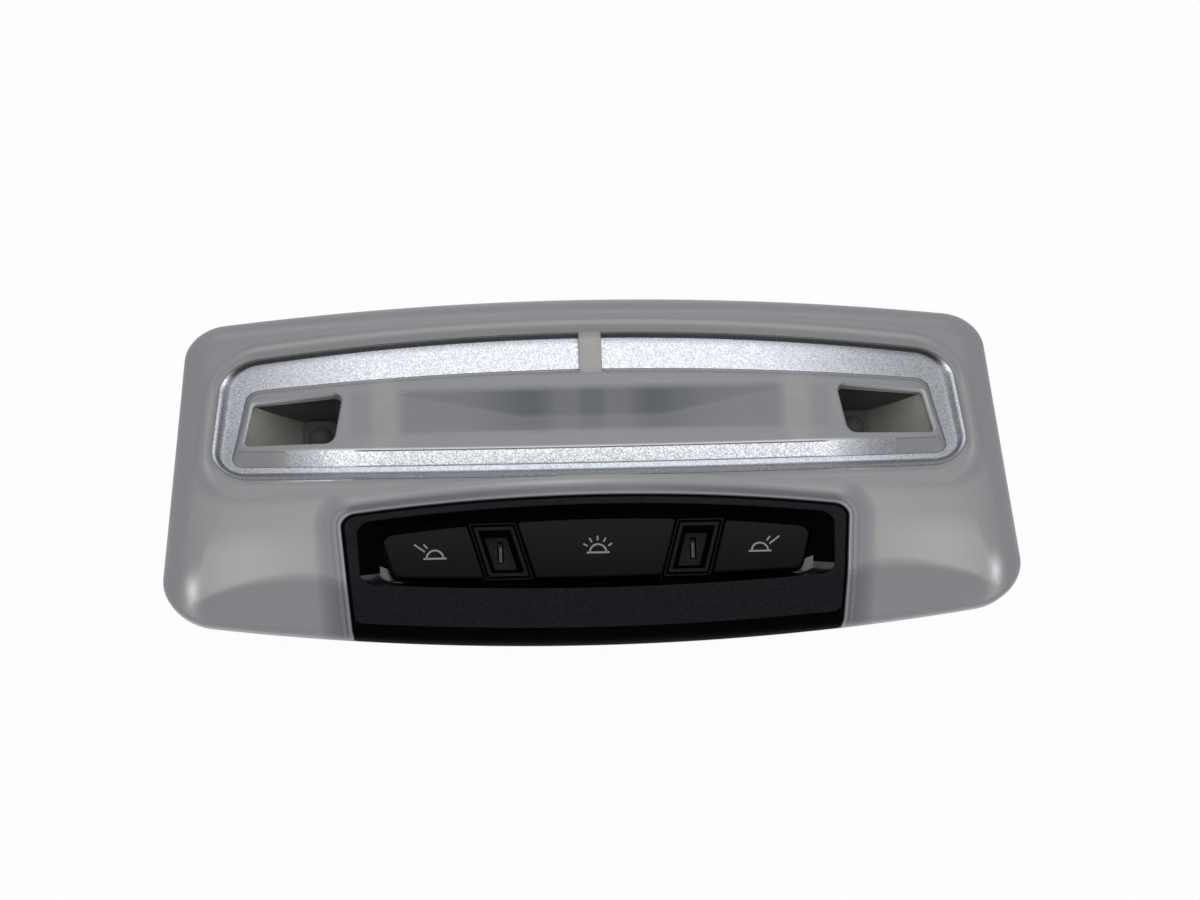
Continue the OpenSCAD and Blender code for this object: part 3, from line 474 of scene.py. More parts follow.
def surface(name, roughness, grain, depth, specular=0.5):
    """Moulded surface without its colour: flecks of a size in millimetres as bump, and mottled roughness.

    The mottling is about 11 mm wide, as handled plastic has it. Returns the material, its tree, shader and
    coordinates, and how much of a fleck there is at each point.
    """
    material, tree, shader, where = new_material(name)
    fine = add(tree, "TexNoise", {"Vector": where, "Scale": 1 / (grain * MM), "Detail": 2.0})
    broad = add(tree, "TexNoise", {"Vector": where, "Scale": 90.0, "Detail": 3.0})
    fleck = add(tree, "MapRange", {"Value": fine, "From Min": 0.38, "From Max": 0.68})
    rough = add(tree, "MapRange", {"Value": broad, "To Min": roughness - 0.06, "To Max": roughness + 0.06})
    relief = add(tree, "Bump", {"Height": fine, "Strength": 1.0, "Distance": depth * MM})
    feed(tree, shader, {"Roughness": rough, "Normal": relief, "Specular IOR Level": specular})
    return material, tree, shader, where, fleck


def moulded(name, colour, flecks, roughness, grain, depth, specular=0.5, painted_shading=None):
    """Moulded plastic in one colour with flecks of another.

    Painted shading turns both colours to a dark one along an axis, between two places in millimetres.
    """
    material, tree, shader, where, fleck = surface(name, roughness, grain, depth, specular)
    mixed = add(tree, "Mix", {0: fleck, 6: srgb(colour), 7: srgb(flecks)}, data_type="RGBA")
    if painted_shading:
        dark, axis, dark_at, light_at = painted_shading
        place = add(tree, "SeparateXYZ", {0: where}).outputs[axis]
        share = add(tree, "MapRange", {"Value": place, "From Min": dark_at * MM, "From Max": light_at * MM})
        mixed = add(tree, "Mix", {0: share, 6: srgb(dark), 7: mixed.outputs[2]}, data_type="RGBA")
    feed(tree, shader, {"Base Color": mixed.outputs[2]})
    return material


# Tone of the lens against its colour: from painted shade, through its plain grey at 0.54, to painted
# highlights
LENS_TONES = ((0.30, "#3e4248"), (0.40, "#5a5d63"), (0.54, "#7f8085"), (0.62, "#999694"), (0.75, "#b9b9bb"),
              (0.85, "#ced2d8"), (0.97, "#eff3f8"))

# Tone of the trim against its colour: from the shade of its upright wall to its bright floor
TRIM_TONES = ((0.30, "#3c3d3f"), (0.45, "#5e5e60"), (0.60, "#7f8186"), (0.75, "#a0a3aa"), (0.90, "#c1c5cc"),
              (1.0, "#f6f8fb"))

# What shows through the middle of the lens, as a place in millimetres against a darkness from 0 to 1:
# across, a rib, the reflector's two halves and the uprights of its frame; up, its near and far edges;
# and across the slanting rib, measured by how far it is above that rib
ACROSS_SHADE = ((0, 0.88), (1.6, 0.88), (3.4, 0.68), (7.4, 0.7), (9.8, 0.9), (12.5, 1), (15, 0.97),
                (18.5, 0.84), (24, 0.64), (31, 0.54), (39, 0.52), (41.4, 0), (45.2, 0), (46.6, 0.22),
                (49.4, 0.22), (51.2, 0))
UP_SHADE = ((6.2, 0.05), (7.2, 0.3), (7.8, 0.9), (9, 1), (15.8, 1), (16.4, 0.6), (17.4, 0))
RIB_SHADE = ((5.9, 0.7), (6.5, 0.68), (6.7, 0.6), (7.1, 0.8), (7.9, 1))
RIB_SLOPE, RIB_END = 0.218, 15.0


def lens_shade(tree, where):
    """Darkness of what shows through the middle of the lens: the product of three profiles."""
    axes = add(tree, "SeparateXYZ", {0: where}).outputs
    across = add(tree, "Math", {0: axes[0]}, operation="ABSOLUTE")
    along = add(tree, "Math", {0: across, 1: RIB_END * MM}, operation="MAXIMUM")
    above = add(tree, "Math", {0: along, 1: -RIB_SLOPE, 2: axes[1]}, operation="MULTIPLY_ADD")
    shade = 1.0
    for value, profile in ((across, ACROSS_SHADE), (axes[1], UP_SHADE), (above, RIB_SHADE)):
        first, last = profile[0][0], profile[-1][0]
        share = add(tree, "MapRange", {"Value": value, "From Min": first * MM, "From Max": last * MM})
        curve = add(tree, "ValToRGB", {0: share})
        stops = curve.color_ramp.elements
        for place, dark in profile[1:-1]:
            stops.new((place - first) / (last - first))
        for stop, (_, dark) in zip(stops, profile):
            stop.color = (dark, dark, dark, 1)
        shade = add(tree, "Math", {0: curve, 1: shade}, operation="MULTIPLY")
    return shade


def tone_curve(tree, tone, tones):
    """Ramp from a tone to its colour."""
    curve = add(tree, "ValToRGB", {0: tone})
    stops = curve.color_ramp.elements
    for place, _ in tones[1:-1]:
        stops.new(place)
    for stop, (place, colour) in zip(stops, tones):
        stop.position, stop.color = place, srgb(colour)
    return curve


def frosted_polycarbonate():
    """Frosted polycarbonate: milky and softly glossy, with painted light and shade in the tone kept on its
    mesh.

    Light goes about 1 mm into it, and the parts close behind it show as a dim blue grey. The frosting's
    grain of 0.3 mm is drawn coarser than the real one.
    """
    material, tree, shader, where, mottle = surface("Frosted_polycarbonate", 0.33, 0.3, 0.008)
    kept = add(tree, "Attribute", attribute_name="tone").outputs["Fac"]
    tone = add(tree, "Math", {0: mottle, 1: 0.012, 2: kept}, operation="MULTIPLY_ADD")
    curve = tone_curve(tree, tone, LENS_TONES)
    mixed = add(tree, "Mix", {0: lens_shade(tree, where), 6: curve, 7: srgb("#1e2831")}, data_type="RGBA")
    feed(tree, shader, {"Base Color": mixed.outputs[2], "IOR": 1.58, "Subsurface Weight": 0.12,
                        "Subsurface Radius": (1.0, 1.0, 0.95), "Subsurface Scale": MM})
    return material


def metallised_abs():
    """Metallised ABS over a grained tool face: flakes of 0.22 mm, drawn a little coarser than real ones."""
    material, tree, shader, where = new_material("Metallised_grained_ABS")
    cells = add(tree, "TexVoronoi", {"Vector": where, "Scale": 1 / (0.22 * MM)})
    flake = add(tree, "SeparateColor", {0: cells.outputs["Color"]})
    # The tone kept on the mesh holds painted light and shade
    kept = add(tree, "Attribute", attribute_name="tone").outputs["Fac"]
    spread = add(tree, "MapRange", {"Value": flake, "To Min": 0.87, "To Max": 1.1})
    tone = add(tree, "Math", {0: kept, 1: spread}, operation="MULTIPLY")
    bump = add(tree, "Bump", {"Height": flake.outputs[1], "Distance": 0.012 * MM, "Strength": 0.6})
    feed(tree, shader, {"Base Color": tone_curve(tree, tone, TRIM_TONES), "Normal": bump, "Metallic": 0.85,
                        "Roughness": 0.4})
    return material


# Each comment below says what the real material gives the eye. The sizes of grain are in millimetres. Real
# grain of such parts is 0.1 to 0.3 mm, and where a size is larger than that, it is drawn coarser.
LENS = frosted_polycarbonate()
TRIM = metallised_abs()
# Spark-eroded tool face: matt enough to stay near black under the lamps. Drawn coarser.
PANEL = moulded("Black_grained_ABS", "#050608", "#14161b", 0.5, 0.45, 0.02, 0.09)
# Near black copy of the panel's ABS with hardly any reflection: painted shade on the rounded edges and
# slopes, so that they are pure black
PANEL_SHADE = moulded("Black_ABS_painted_shade", "#020203", "#040405", 0.6, 0.3, 0.004, 0.01)
# Polished tool face: it mirrors the lights softly
PANEL_GLOSS = moulded("Black_polished_ABS", "#0b0c10", "#0f1015", 0.22, 0.3, 0.002, 0.6)
# Raised edges, finer in grain and a little lighter than the panel: a soft dark grey line
PORT_RIM = moulded("Black_fine_grained_ABS", "#111214", "#17181b", 0.5, 0.25, 0.008, 0.06)
# Soft paint without gloss: grey at the keys' far edges, with painted shade that turns it near black at the
# near ones, which face the shade
KEY = moulded("Dark_grey_soft_touch_ABS", "#171717", "#1c1c1c", 0.55, 0.3, 0.015, 0.06,
              painted_shading=("#020202", 1, KEYS_Y[1], KEYS_Y[0]))
# Thin printed ink: even and matt
ICON = moulded("Light_grey_tampo_ink", "#727375", "#828385", 0.5, 0.12, 0.004)
# Light grey slope of the wells, painted as lit, and a little darker at its foot by painted shade. Drawn
# coarser.
WELL = moulded("Grey_moulded_PC_ABS", "#a3a59e", "#b0b2ab", 0.42, 0.4, 0.01,
               painted_shading=("#8a8c86", 2, BOARD_TOP, 18))
# Painted shade on the wells' upright walls, which turn from the light, with painted light at their feet,
# which get some from the slope. Drawn coarser.
WELL_SHADE = moulded("Grey_PC_ABS_painted_shade", "#6c6d6a", "#767774", 0.5, 0.4, 0.02, 0.2,
                    painted_shading=("#242523", 2, 23, BOARD_TOP))
# Undyed and filled to throw light back: white and half matt
WHITE = moulded("White_diffuse_PBT", "#d4d4d0", "#dededa", 0.5, 0.3, 0.01)
# Talc shows as fine pale specks in a dull black. Drawn coarser.
HOUSING = moulded("Black_talc_filled_PP", "#17181a", "#232427", 0.5, 0.5, 0.03, 0.3)
# Plain engineering plastic: black with a slight sheen
BLACK = moulded("Black_PA66", "#151517", "#1c1c1e", 0.45, 0.3, 0.02, 0.3)
# Painted shade: seen deep in its well, the optic is as grey as what is round it
OPTIC_SHADE = moulded("PMMA_optic_painted_shade", "#595a57", "#626360", 0.5, 0.3, 0.003, 0.08)
# Clear bar over a dark pocket: dark grey, with a glint at its tip
GUIDE = moulded("Grey_PMMA_light_guide", "#25272a", "#303337", 0.4, 0.2, 0.004)
# Resin full of phosphor: pale yellow while unlit
LED_RESIN = moulded("Phosphor_resin", "#e0d8a4", "#e8e2b6", 0.4, 0.15, 0.008)
# Green lacquer over woven glass, whose weave dimples it by 0.6 mm
BOARD = moulded("Green_solder_mask", "#1a4530", "#22513a", 0.35, 0.6, 0.02)


def plain_metal(name, colour, roughness, grain):
    """Sheet or turned metal: fine lengthwise drawing marks as bump."""
    material, tree, shader, where = new_material(name)
    drawn = add(tree, "Mapping", {"Vector": where, "Scale": (1, 1, 0.08)})
    marks = add(tree, "TexNoise", {"Vector": drawn, "Scale": 1 / (grain * MM)})
    bump = add(tree, "Bump", {"Height": marks, "Distance": 0.01 * MM})
    rough = add(tree, "MapRange", {"Value": marks, "To Min": roughness - 0.08, "To Max": roughness + 0.08})
    feed(tree, shader, {"Base Color": srgb(colour), "Metallic": 1.0, "Normal": bump, "Roughness": rough})
    return material


# Bright rolled steel, dull zinc with a warm cast, and pale tin over brass
SPRING = plain_metal("Spring_steel", "#b4b6b8", 0.32, 0.2)
SCREW = plain_metal("Zinc_plated_steel", "#c4c2ba", 0.35, 0.2)
TINNED = plain_metal("Tinned_brass", "#cbb98a", 0.3, 0.15)


# Lens

def recess_distance(p):
    """Distance outwards from the recess's edge, taken as a rounded box, and the share of it across X."""
    x, y = np.abs(p[:, 0]), p[:, 1]
    share = (y - RECESS_Y[1]) / (RECESS_Y[0] - RECESS_Y[1])
    beside = x - RECESS_HW[1] - (RECESS_HW[0] - RECESS_HW[1]) * share + RECESS_CORNER
    far = y - RECESS_Y[0] + x ** 2 / 2 / RECESS_BOW[0]
    near = RECESS_Y[1] - x ** 2 / 2 / RECESS_BOW[1] - y
    beyond = np.maximum(far, near) + RECESS_CORNER
    outside = np.hypot(np.maximum(beside, 0), np.maximum(beyond, 0))
    distance = outside + np.minimum(np.maximum(beside, beyond), 0) - RECESS_CORNER
    return distance, np.maximum(beside, 0) / np.maximum(outside, 1e-6)


# Tone of the plain lens, and its soft lines, each with its place in millimetres, its width and its change of
# tone: lines of painted highlight and shade by the distance outside the recess's far edge, its ends and its
# near edge, and lines across X inside it
LENS_TONE = 0.54
FAR_LINES = ((2.9, 0.5, 0.09), (3.8, 0.4, -0.05))
END_LINES = ((1.3, 1.0, 0.07), (3.6, 0.8, -0.03))
NEAR_LINES = ((3.3, 1.3, -0.05),)
INSIDE_LINES = ((43.3, 2.4, 0.04),)

# Painted reflection on the near face that fans out to each near corner: its edge at a place across X,
# which leans inwards beyond a place up Y, and the painted highlight in it, with its place and its widths
FAN_X, FAN_Y, FAN_LEAN = 79.8, -12.9, 0.34
HOT_SPOT, HOT_SPOT_W = (83.0, -24.3), (1.3, 2.8)


def lens_tone(p):
    """Tone of the lens from its place: a cool grey, changed by smooth ramps and bell curves.

    Light and shade are painted on: it is lighter on the near face and most of all in a painted reflection
    that fans out to each near corner, with a painted highlight at its foot, and darker on the near slope.
    Soft lines of painted highlight and shade follow the recess. Inside the ring the far bevel is painted
    lighter, and the near one has a dark line of painted shade at its top and brightens towards the middle
    of its plate.
    """
    x, y = np.abs(p[:, 0]), p[:, 1]
    way = near_way(p)
    distance, across = recess_distance(p)
    inside = distance < 0
    outside = rise(distance, 0.8, 1.8)
    edges = outside * (1 - across)
    tone = np.full(len(p), LENS_TONE)
    tone += 0.06 * rise(y, -2, -6) * rise(x, 86, 72) * rise(way, 0.8, 1)
    fan = rise(x + (y - FAN_Y) * FAN_LEAN, FAN_X, FAN_X - 1.2) * rise(y, -10, -18) * rise(x, 50, 74)
    tone += 0.07 * fan * rise(way, 6 / 7, 1)
    tone += 0.32 * bell(x - HOT_SPOT[0], HOT_SPOT_W[0]) * bell(y - HOT_SPOT[1], HOT_SPOT_W[1])
    tone += edges * np.where(y > MIDDLE_Y, bells(distance, FAR_LINES), bells(distance, NEAR_LINES))
    tone += outside * across * bells(distance, END_LINES)
    tone += (distance < -5) * bells(x, INSIDE_LINES)
    above = y - INSIDE_Y[0] + FAR_BEVEL_W + x ** 2 / 2 / INSIDE_BOW
    tone += inside * (y > MIDDLE_Y) * 0.08 * rise(above, 0, FAR_BEVEL_W)
    below = INSIDE_Y[1] + BEVEL_W + x ** 2 / 2 / RECESS_BOW[1] - y
    bevel = inside & (below > -0.1)
    tone += bevel * (0.36 * rise(np.abs(p[:, 0] + 3), 66, 48) - 0.16 * bell(below - 0.23, 0.12))
    return tone


def closing(outline, depth, count=8):
    """Rings at one depth, each smaller than the last, from an outline to nearly a point at its middle."""
    shares = np.linspace(1, 0.01, count + 1)[1:]
    return [at_depth(shrunk(outline, np.array([0, MIDDLE_Y]), share), depth) for share in shares]


def bevel_rise(way):
    """Rise of the island's bevel at a share of the way in from the ring's floor: steep, then flatter."""
    return LIP_H * (1 - (1 - way) ** 1.35)


def panel_path(out, steps=(90, 60, 2, 60)):
    """Open path round the panel from the near edge at the right to that at the left, moved outwards."""
    r = PANEL_CORNER + out
    loop = drawn_in(PANEL_EDGE, -out, -out, 0, (r, r, 0.01, 0.01), steps)
    return np.roll(loop, steps[3], axis=0)[:2 * CORNER_STEPS + steps[0] + 2 * steps[1] + 1]


# Section of the border from the panel outwards, along the panel's far edge and beside its ends:
# place in millimetres, height over the face, and how much its tone differs from the lens around it, which
# is mostly painted shade in its groove
BORDER_FAR = np.array([(0, -0.3, -0.12), (0.2, -0.05, -0.07), (0.45, 0, -0.11), (0.8, -0.08, -0.22),
                       (1.15, -0.14, -0.27), (1.5, -0.12, -0.23), (1.9, -0.04, -0.12), (2.4, 0.02, -0.03),
                       (2.9, 0.02, 0.01), (3.6, 0, 0), (4.2, 0, 0)])
BORDER_SIDE = np.array([(0, -0.3, -0.12), (0.2, -0.05, -0.02), (0.6, 0, -0.03), (1.0, -0.09, -0.2),
                        (1.4, -0.01, -0.09), (1.8, 0.02, -0.09), (2.2, -0.03, -0.14), (2.7, 0.01, -0.115),
                        (3.8, 0.02, -0.1), (5.2, 0.01, -0.06), (6.6, 0, 0)])
BORDER_DEPTH = 2.4

# Path of the border's inner edge, way outwards from it, and share of the section beside the panel's ends
INNER = panel_path(PANEL_GAP)
OUTWARD = panel_path(PANEL_GAP + 1) - INNER
BESIDE = rise(np.abs(INNER[:, 0]) + np.maximum(-9.5 - INNER[:, 1], 0), 50.2, 52.8)[:, None]


def border_row(k):
    """Row k of the border: points, height over the face and tone, from one section over to the other.

    The painted shade in its groove is deepest away from the middle, and its ridge has a painted highlight
    on its crest left of the middle.
    """
    row = BORDER_FAR[k] + (BORDER_SIDE[k] - BORDER_FAR[k]) * BESIDE
    p = INNER + OUTWARD * row[:, :1]
    groove = row[:, 2] * (0.7 + 0.5 * rise(np.abs(p[:, 0]), 4, 34))
    crest = 0.14 * bell(row[:, 0] - 2.9, 0.4) * bell(p[:, 0] + 8, 15)
    return p, row[:, 1], lens_tone(p) + groove + crest


def make_border():
    """Border of the lens round the panel: a low ridge and a groove, each ring of which follows the face."""
    rows, tones = [], []
    for k in range(len(BORDER_FAR)):
        p, lift, tone = border_row(k)
        rows.append(at_height(p, near_surface(p) + lift))
        tones.append(tone)
    for edge in (-1, 0):
        p = rows[edge][:, :2]
        rows.append(at_height(p, np.maximum(near_surface(p) - BORDER_DEPTH, FOOT_Z)))
        tones.append(tones[edge])
    return make_rows("lens_border", rows, tones, LENS, "frosted_lens")


def make_lens():
    """Lens: rings from under its middle out round its rim, and in over roll, recess, groove and island.

    The windows, and the notch for the panel and its border, are cut out of it.
    """
    under = GROOVE_DEPTH + LENS_FLOOR
    out = LIP_W + LIP_SLOPE

    def slope(left):
        """Outline on the slope round the lip, at a share of the slope that is left up to the face."""
        return recess_outline(-out - SLOPE_SIDE * left, -out - SLOPE_EDGE * left)

    step_in, step_out = (recess_outline(-out - side, -out - edge) for side, edge in (STEP_IN, STEP_OUT))
    ways = np.concatenate([[0, 0.004, 0.012, 0.025, 0.045, 0.07, 0.1, 0.14], np.linspace(0.2, 1, 17)])
    rings = closing(step_in, under)[::-1] + [at_depth(step_in, under), at_depth(step_out, LENS_T)]
    rings += [edge_ring(way, LENS_WALL, UNDER_W, LENS_T, FLANGE_Z + 1) for way in (1, 0.6, 0.3, 0.1, 0)]
    rings += [at_height(face_outline(wall, wall), FLANGE_Z) for wall in (LENS_WALL, 0)]
    rings += [edge_ring(way, 0, (ROLL_W, FLANK_W), 0, RIM_Z) for way in ways]
    edge = rings[-1][:, :2]
    rings += [at_depth(edge + (slope(1) - edge) * share, 0) for share in np.linspace(0, 1, 21)[1:]]
    rings += [at_depth(slope(left), ISLAND_DEPTH * (1 - left) ** 1.4) for left in np.linspace(0.9, 0, 10)]
    foot, island = trim_inside(0), island_outline()
    rings += [at_depth(slope(0), GROOVE_DEPTH), at_depth(foot, GROOVE_DEPTH), at_depth(foot, TRIM_DEPTH)]
    rings += [at_depth(foot + (island - foot) * way, TRIM_DEPTH - bevel_rise(way))
              for way in (0.25, 0.5, 0.75, 0.88, 0.93, 1)]
    rings += closing(island, ISLAND_DEPTH, count=16)
    lens = make_piece("lens_moulding", *loft(rings), LENS, slot="frosted_lens", stands_for=["lens_cover"])
    notch = np.concatenate([border_row(-1)[0], [[-60, NEAR_Y - 6], [60, NEAR_Y - 6]]])
    window = prism(window_outline(COLLAR_W), FLANGE_Z - 1, ABOVE)
    cut(lens, prism(notch, FOOT_Z, ABOVE), window, on_side(-1, window))
    return toned(soften(lens, 28), lens_tone(vertices(lens)))


def make_bridge():
    """Bar of lens material that fills the groove between the trim ring's ends, with rounded long edges."""
    section = np.array([(-1, -BRIDGE_H), (-1, -0.2), (-0.95, -0.06), (-0.85, 0), (0.85, 0), (0.95, -0.06),
                        (1, -0.2), (1, -BRIDGE_H)])
    rings = []
    for y in np.linspace(INSIDE_Y[0] - 1.4, RECESS_Y[0] + 1.2, 12):
        p = np.column_stack([section[:, 0] * BRIDGE_HW, np.full(len(section), y)])
        rings.append(at_height(p, face_z(p, ISLAND_DEPTH - 0.03) + section[:, 1]))
    piece = soften(make_piece("lens_bridge", *loft(rings), LENS, slot="frosted_lens"))
    return toned(piece, lens_tone(vertices(piece)))


def make_window_edge(side):
    """Collar of a window: its inner edge is a quarter round, with a painted highlight at the outer and far
    sides.
    """
    turns = np.linspace(0, math.pi / 2, 7)
    outer, inner = window_outline(COLLAR_W), window_outline(0)
    facing = (outer - inner) / COLLAR_W
    lit = 0.9 * np.maximum(facing[:, 0], 0) + 0.16 * facing[:, 1] - 0.12 * np.maximum(-facing[:, 0], 0)
    foot, r = ISLAND_DEPTH + COLLAR_H, COLLAR_ROUND
    rings = [at_depth(outer, foot), at_depth(outer, ISLAND_DEPTH)]
    rings += [at_depth(window_outline(r * (1 - math.sin(t))), ISLAND_DEPTH + r * (1 - math.cos(t)))
              for t in turns]
    rings += [at_depth(inner, foot)]
    piece = make_piece(f"window_edge_{SIDES[side]}", *on_side(side, loft(rings, joined=True)), LENS,
                       slot="frosted_lens")
    shares = [0, 0, *np.sin(turns) ** 3, 1]
    return toned(soften(piece), np.concatenate([LENS_TONE + lit * share for share in shares]))


def make_trim_plate():
    """Silver plate on the near bevel: a sheet that follows the bevel from the ring's floor to the island.

    Its middle is painted bright between two dark lines of painted shade, and its ends are painted as grey
    as the lens beside them.
    """
    x = np.linspace(-PLATE_HW, PLATE_HW, 201)
    near_y = INSIDE_Y[1] + x ** 2 / 2 / RECESS_BOW[1]
    bright = 0.6 + 0.35 * rise(np.abs(x + 3), 66, 49) + 0.04 * bell(np.abs(x) - 49, 4)
    line = 0.45 + (bright - 0.45) * rise(np.abs(x), PLATE_LINE_HW, PLATE_LINE_HW + 2)
    section = ((0.02, line), (0.06, bright), (0.25, bright), (0.5, bright), (0.75, bright), (0.86, bright),
               (0.91, line), (0.96, line))
    rows, tones = [], []
    for lift, ways in ((PLATE_LIFT, section), (-PLATE_LIFT, section[::-1])):
        for way, tone in ways:
            p = np.column_stack([x, near_y + BEVEL_W * way])
            rows.append(at_depth(p, TRIM_DEPTH - bevel_rise(way) - lift))
            tones.append(tone)
    return make_rows("trim_plate_near", rows, tones, TRIM, "silver_trim")


def trim_tone(p, facing, way):
    """Tone of the trim ring at a share of the way up its wall, or on its floor at a share below 0.

    Facing is 1 on the far wall, -1 on the near one and 0 at the ends. Light and shade are painted on: the
    floor is brightest at the middle, the far wall turns from the light and is dark, and the end walls have a
    bright streak, which ends in a highlight at each far corner.
    """
    x, y = np.abs(p[:, 0]), p[:, 1]
    floor = 0.62 + 0.25 * rise(np.abs(p[:, 0] + 6), 80, 38) * rise(y, 2, 12)
    floor += 0.2 * rise(x, 78, 48) * rise(y, 4, 0)
    if way < 0:
        return floor
    dark, near = rise(facing, 0.44, 0.84), rise(facing, 0, -0.5)
    streak = bells(way, ((0.9, 0.12, 0.14), (0.65, 0.12, -0.07)))
    wall = 0.66 + streak * (1 - np.abs(facing)) - 0.27 * dark - (0.02 + 0.16 * rise(way, 2 / 3, 1)) * near
    wall += 0.4 * bell(facing - 0.5, 0.14) * bell(way - 0.75, 0.3)
    floor -= 0.1 * dark
    return floor + (wall - floor) * rise(way, 0, 1 / 7)


def make_trim_ring():
    """Trim ring: a section carried round the recess from one side of the bridge to the other.

    Its floor lies in the groove. Its wall rises along an S curve to the lip, and is wider at the ends.
    """
    out, r = LIP_W + LIP_SLOPE - TRIM_GAP, RECESS_CORNER - WALL_W
    outer, inner = recess_outline(-out, -out), trim_inside(-TRIM_GAP)
    foot = drawn_in(RECESS, WALL_W, 0, NEAR_WALL_W, (r, r, r - 1, r - 1))
    across = recess_distance(outer)[1]
    facing = np.sqrt(np.maximum(1 - across ** 2, 0)) * np.sign(outer[:, 1] - MIDDLE_Y)
    order = (CORNER_STEPS + FINE[0] // 2 + np.arange(len(outer) + 1)) % len(outer)
    base = GROOVE_DEPTH - TRIM_GAP

    # Outline, depth and share of the way up the wall of each row
    section = [(inner, base, -1)]
    section += [(inner + (foot - inner) * share, TRIM_DEPTH, -1) for share in (0, 0.5, 0.78)]
    section += [(foot + (outer - foot) * 0.84 * way, TRIM_DEPTH - LIP_H * smooth(way), way)
                for way in np.linspace(0, 1, 9)]
    section += [(outer, ISLAND_DEPTH, 1), (outer, base, 1)]
    rows, tones = [], []
    for outline, depth, way in section:
        p = outline[order].copy()
        p[0, 0], p[-1, 0] = -BRIDGE_HW - TRIM_GAP, BRIDGE_HW + TRIM_GAP
        rows.append(at_depth(p, depth))
        tones.append(trim_tone(p, facing[order], way))
    return make_rows("trim_ring_bright", rows, tones, TRIM, "silver_trim", ["trim_ring"])


make_lens()
make_border()
make_bridge()
for side in SIDES:
    make_window_edge(side)
make_trim_ring()
make_trim_plate()


# Switch panel

def make_panel():
    """Panel: rings from its foot up its wall, over the face to the scoop, down the bowl and under the skin.

    Its rolled edge and the bowl's walls are smooth and take the near black copy of its finish as painted
    shade, and the bowl's floor and near corners are polished.
    """
    steps = (120, 60, 120, 60)

    def panel(inset):
        """Outline of the panel, drawn in."""
        r = max(PANEL_CORNER - inset, 0.6)
        return drawn_in(PANEL_EDGE, inset, inset, inset, (r, r, 0.4, 0.4), steps)

    def scoop(share, out):
        """Outline of the bowl at a share of its wall's width, from 0 at its floor to 1 at its rim."""
        half = SCOOP_HW - SCOOP_END * (1 - share) + out
        side = SCOOP_SIDE * (1 - share) - out
        return bowed((half, half - 0.8), (SCOOP_Y[0] - side, SCOOP_Y[1] + side), PANEL_EDGE[2], (3,) * 4,
                     steps)

    def opening(grow):
        """Outline of the opening for the keys and the ports, grown outwards."""
        return drawn_in(KEYS, -grow, -grow, -grow, (2, 2, 2.6, 2.6), steps)

    def on_face(p, depth):
        """Points at a depth under the panel's own face."""
        return at_height(p, near_surface(p) + PANEL_PROUD - depth)

    rim, outer, inner, foot = scoop(1, 0), panel(0.3), panel(PANEL_T), scoop(0, 0)
    rings = [at_height(panel(0), FOOT_Z), on_face(panel(0), 0.3), on_face(panel(0.05), 0.1),
             on_face(panel(0.16), 0.02)]
    rings += [on_face(outer + (rim - outer) * share, 0)
              for share in (0, 0.02, 0.05, 0.1, 0.17, 0.25, 0.35, 0.5, 0.65, 0.8, 0.92)]
    rings.append(on_face(rim, 0.06))
    edge, bowl = 7, len(rings)
    top = near_surface(rim) + PANEL_PROUD - 0.1
    rings += [at_height(scoop(share, 0), SCOOP_Z + (top - SCOOP_Z) * share ** 1.2)
              for share in np.linspace(0.97, 0, 14)]
    floor = len(rings)
    rings += [at_height(opening(grow), z) for grow, z in ((0.15, SCOOP_Z), (0.04, SCOOP_Z - 0.05),
                                                          (0, SCOOP_Z - 0.2), (0, PANEL_UNDER))]
    rings += [at_height(scoop(0, PANEL_T), PANEL_UNDER), on_face(inner, PANEL_T), at_height(inner, FOOT_Z)]
    piece = make_piece("panel_moulding", *loft(rings, joined=True), PANEL, slot="gloss_black",
                       stands_for=["switch_panel"])
    shaded_part, polished = 1, 2
    finish = np.zeros((len(rings), len(rim)), int)
    finish[:edge] = finish[bowl:floor + 3] = shaded_part
    finish[edge:edge + 2, outer[:, 1] - outer[:, 0] ** 2 / 2 / NEAR_BOW < NEAR_Y + 1] = shaded_part
    finish[floor - 1, (np.abs(foot[:, 0]) > 40.5) & (foot[:, 1] < -20.3)] = polished
    finish[bowl:floor - 1, (np.abs(rim[:, 0]) > 42) & (rim[:, 1] < -22.5)] = polished
    return soften(finished(piece, (PANEL_SHADE, PANEL_GLOSS), finish.ravel()), 40)


def key_outline(side, inset):
    """Outline of the right key, or of the centre one at side 0: its ends lean, and its edges are bowed."""
    gap = KEY_GAP + inset
    far, near = KEYS_Y[0] - gap, KEYS_Y[1] + gap
    if side:
        ends, signs, radii = ((KEYS_HW[0] + KEYS_HW[1]) / 2 - gap, PORT_OUT + gap), (1, 1), (2, 0.5, 0.5, 2.6)
    else:
        ends, signs, radii = (PORT_IN - gap,) * 2, (1, -1), (0.5,) * 4
    edges = [[sign * (end + PORT_LEAN * (y - KEYS_MID)) for end, sign in zip(ends, signs)]
             for y in (far, near)]
    p = four_sided(*edges, (far, near), [max(r - inset, 0.15) for r in radii], (60, 16, 60, 16))
    share = (p[:, 1] - near) / (far - near)
    move = p[:, 0] ** 2 / 2 * ((1 - share) / KEYS_BOW[1] - share / KEYS_BOW[0])
    aside = 1 if side else p[:, 0] / np.abs(p[:, 0]).max()
    return p + np.column_stack([PORT_LEAN * move * aside, move])


def key_top(p, drop=0.0):
    """Height of a key's top, which rises towards the near edge."""
    return SCOOP_Z + KEY_H - (p[:, 1] - KEYS_MID) * KEY_TILT - drop


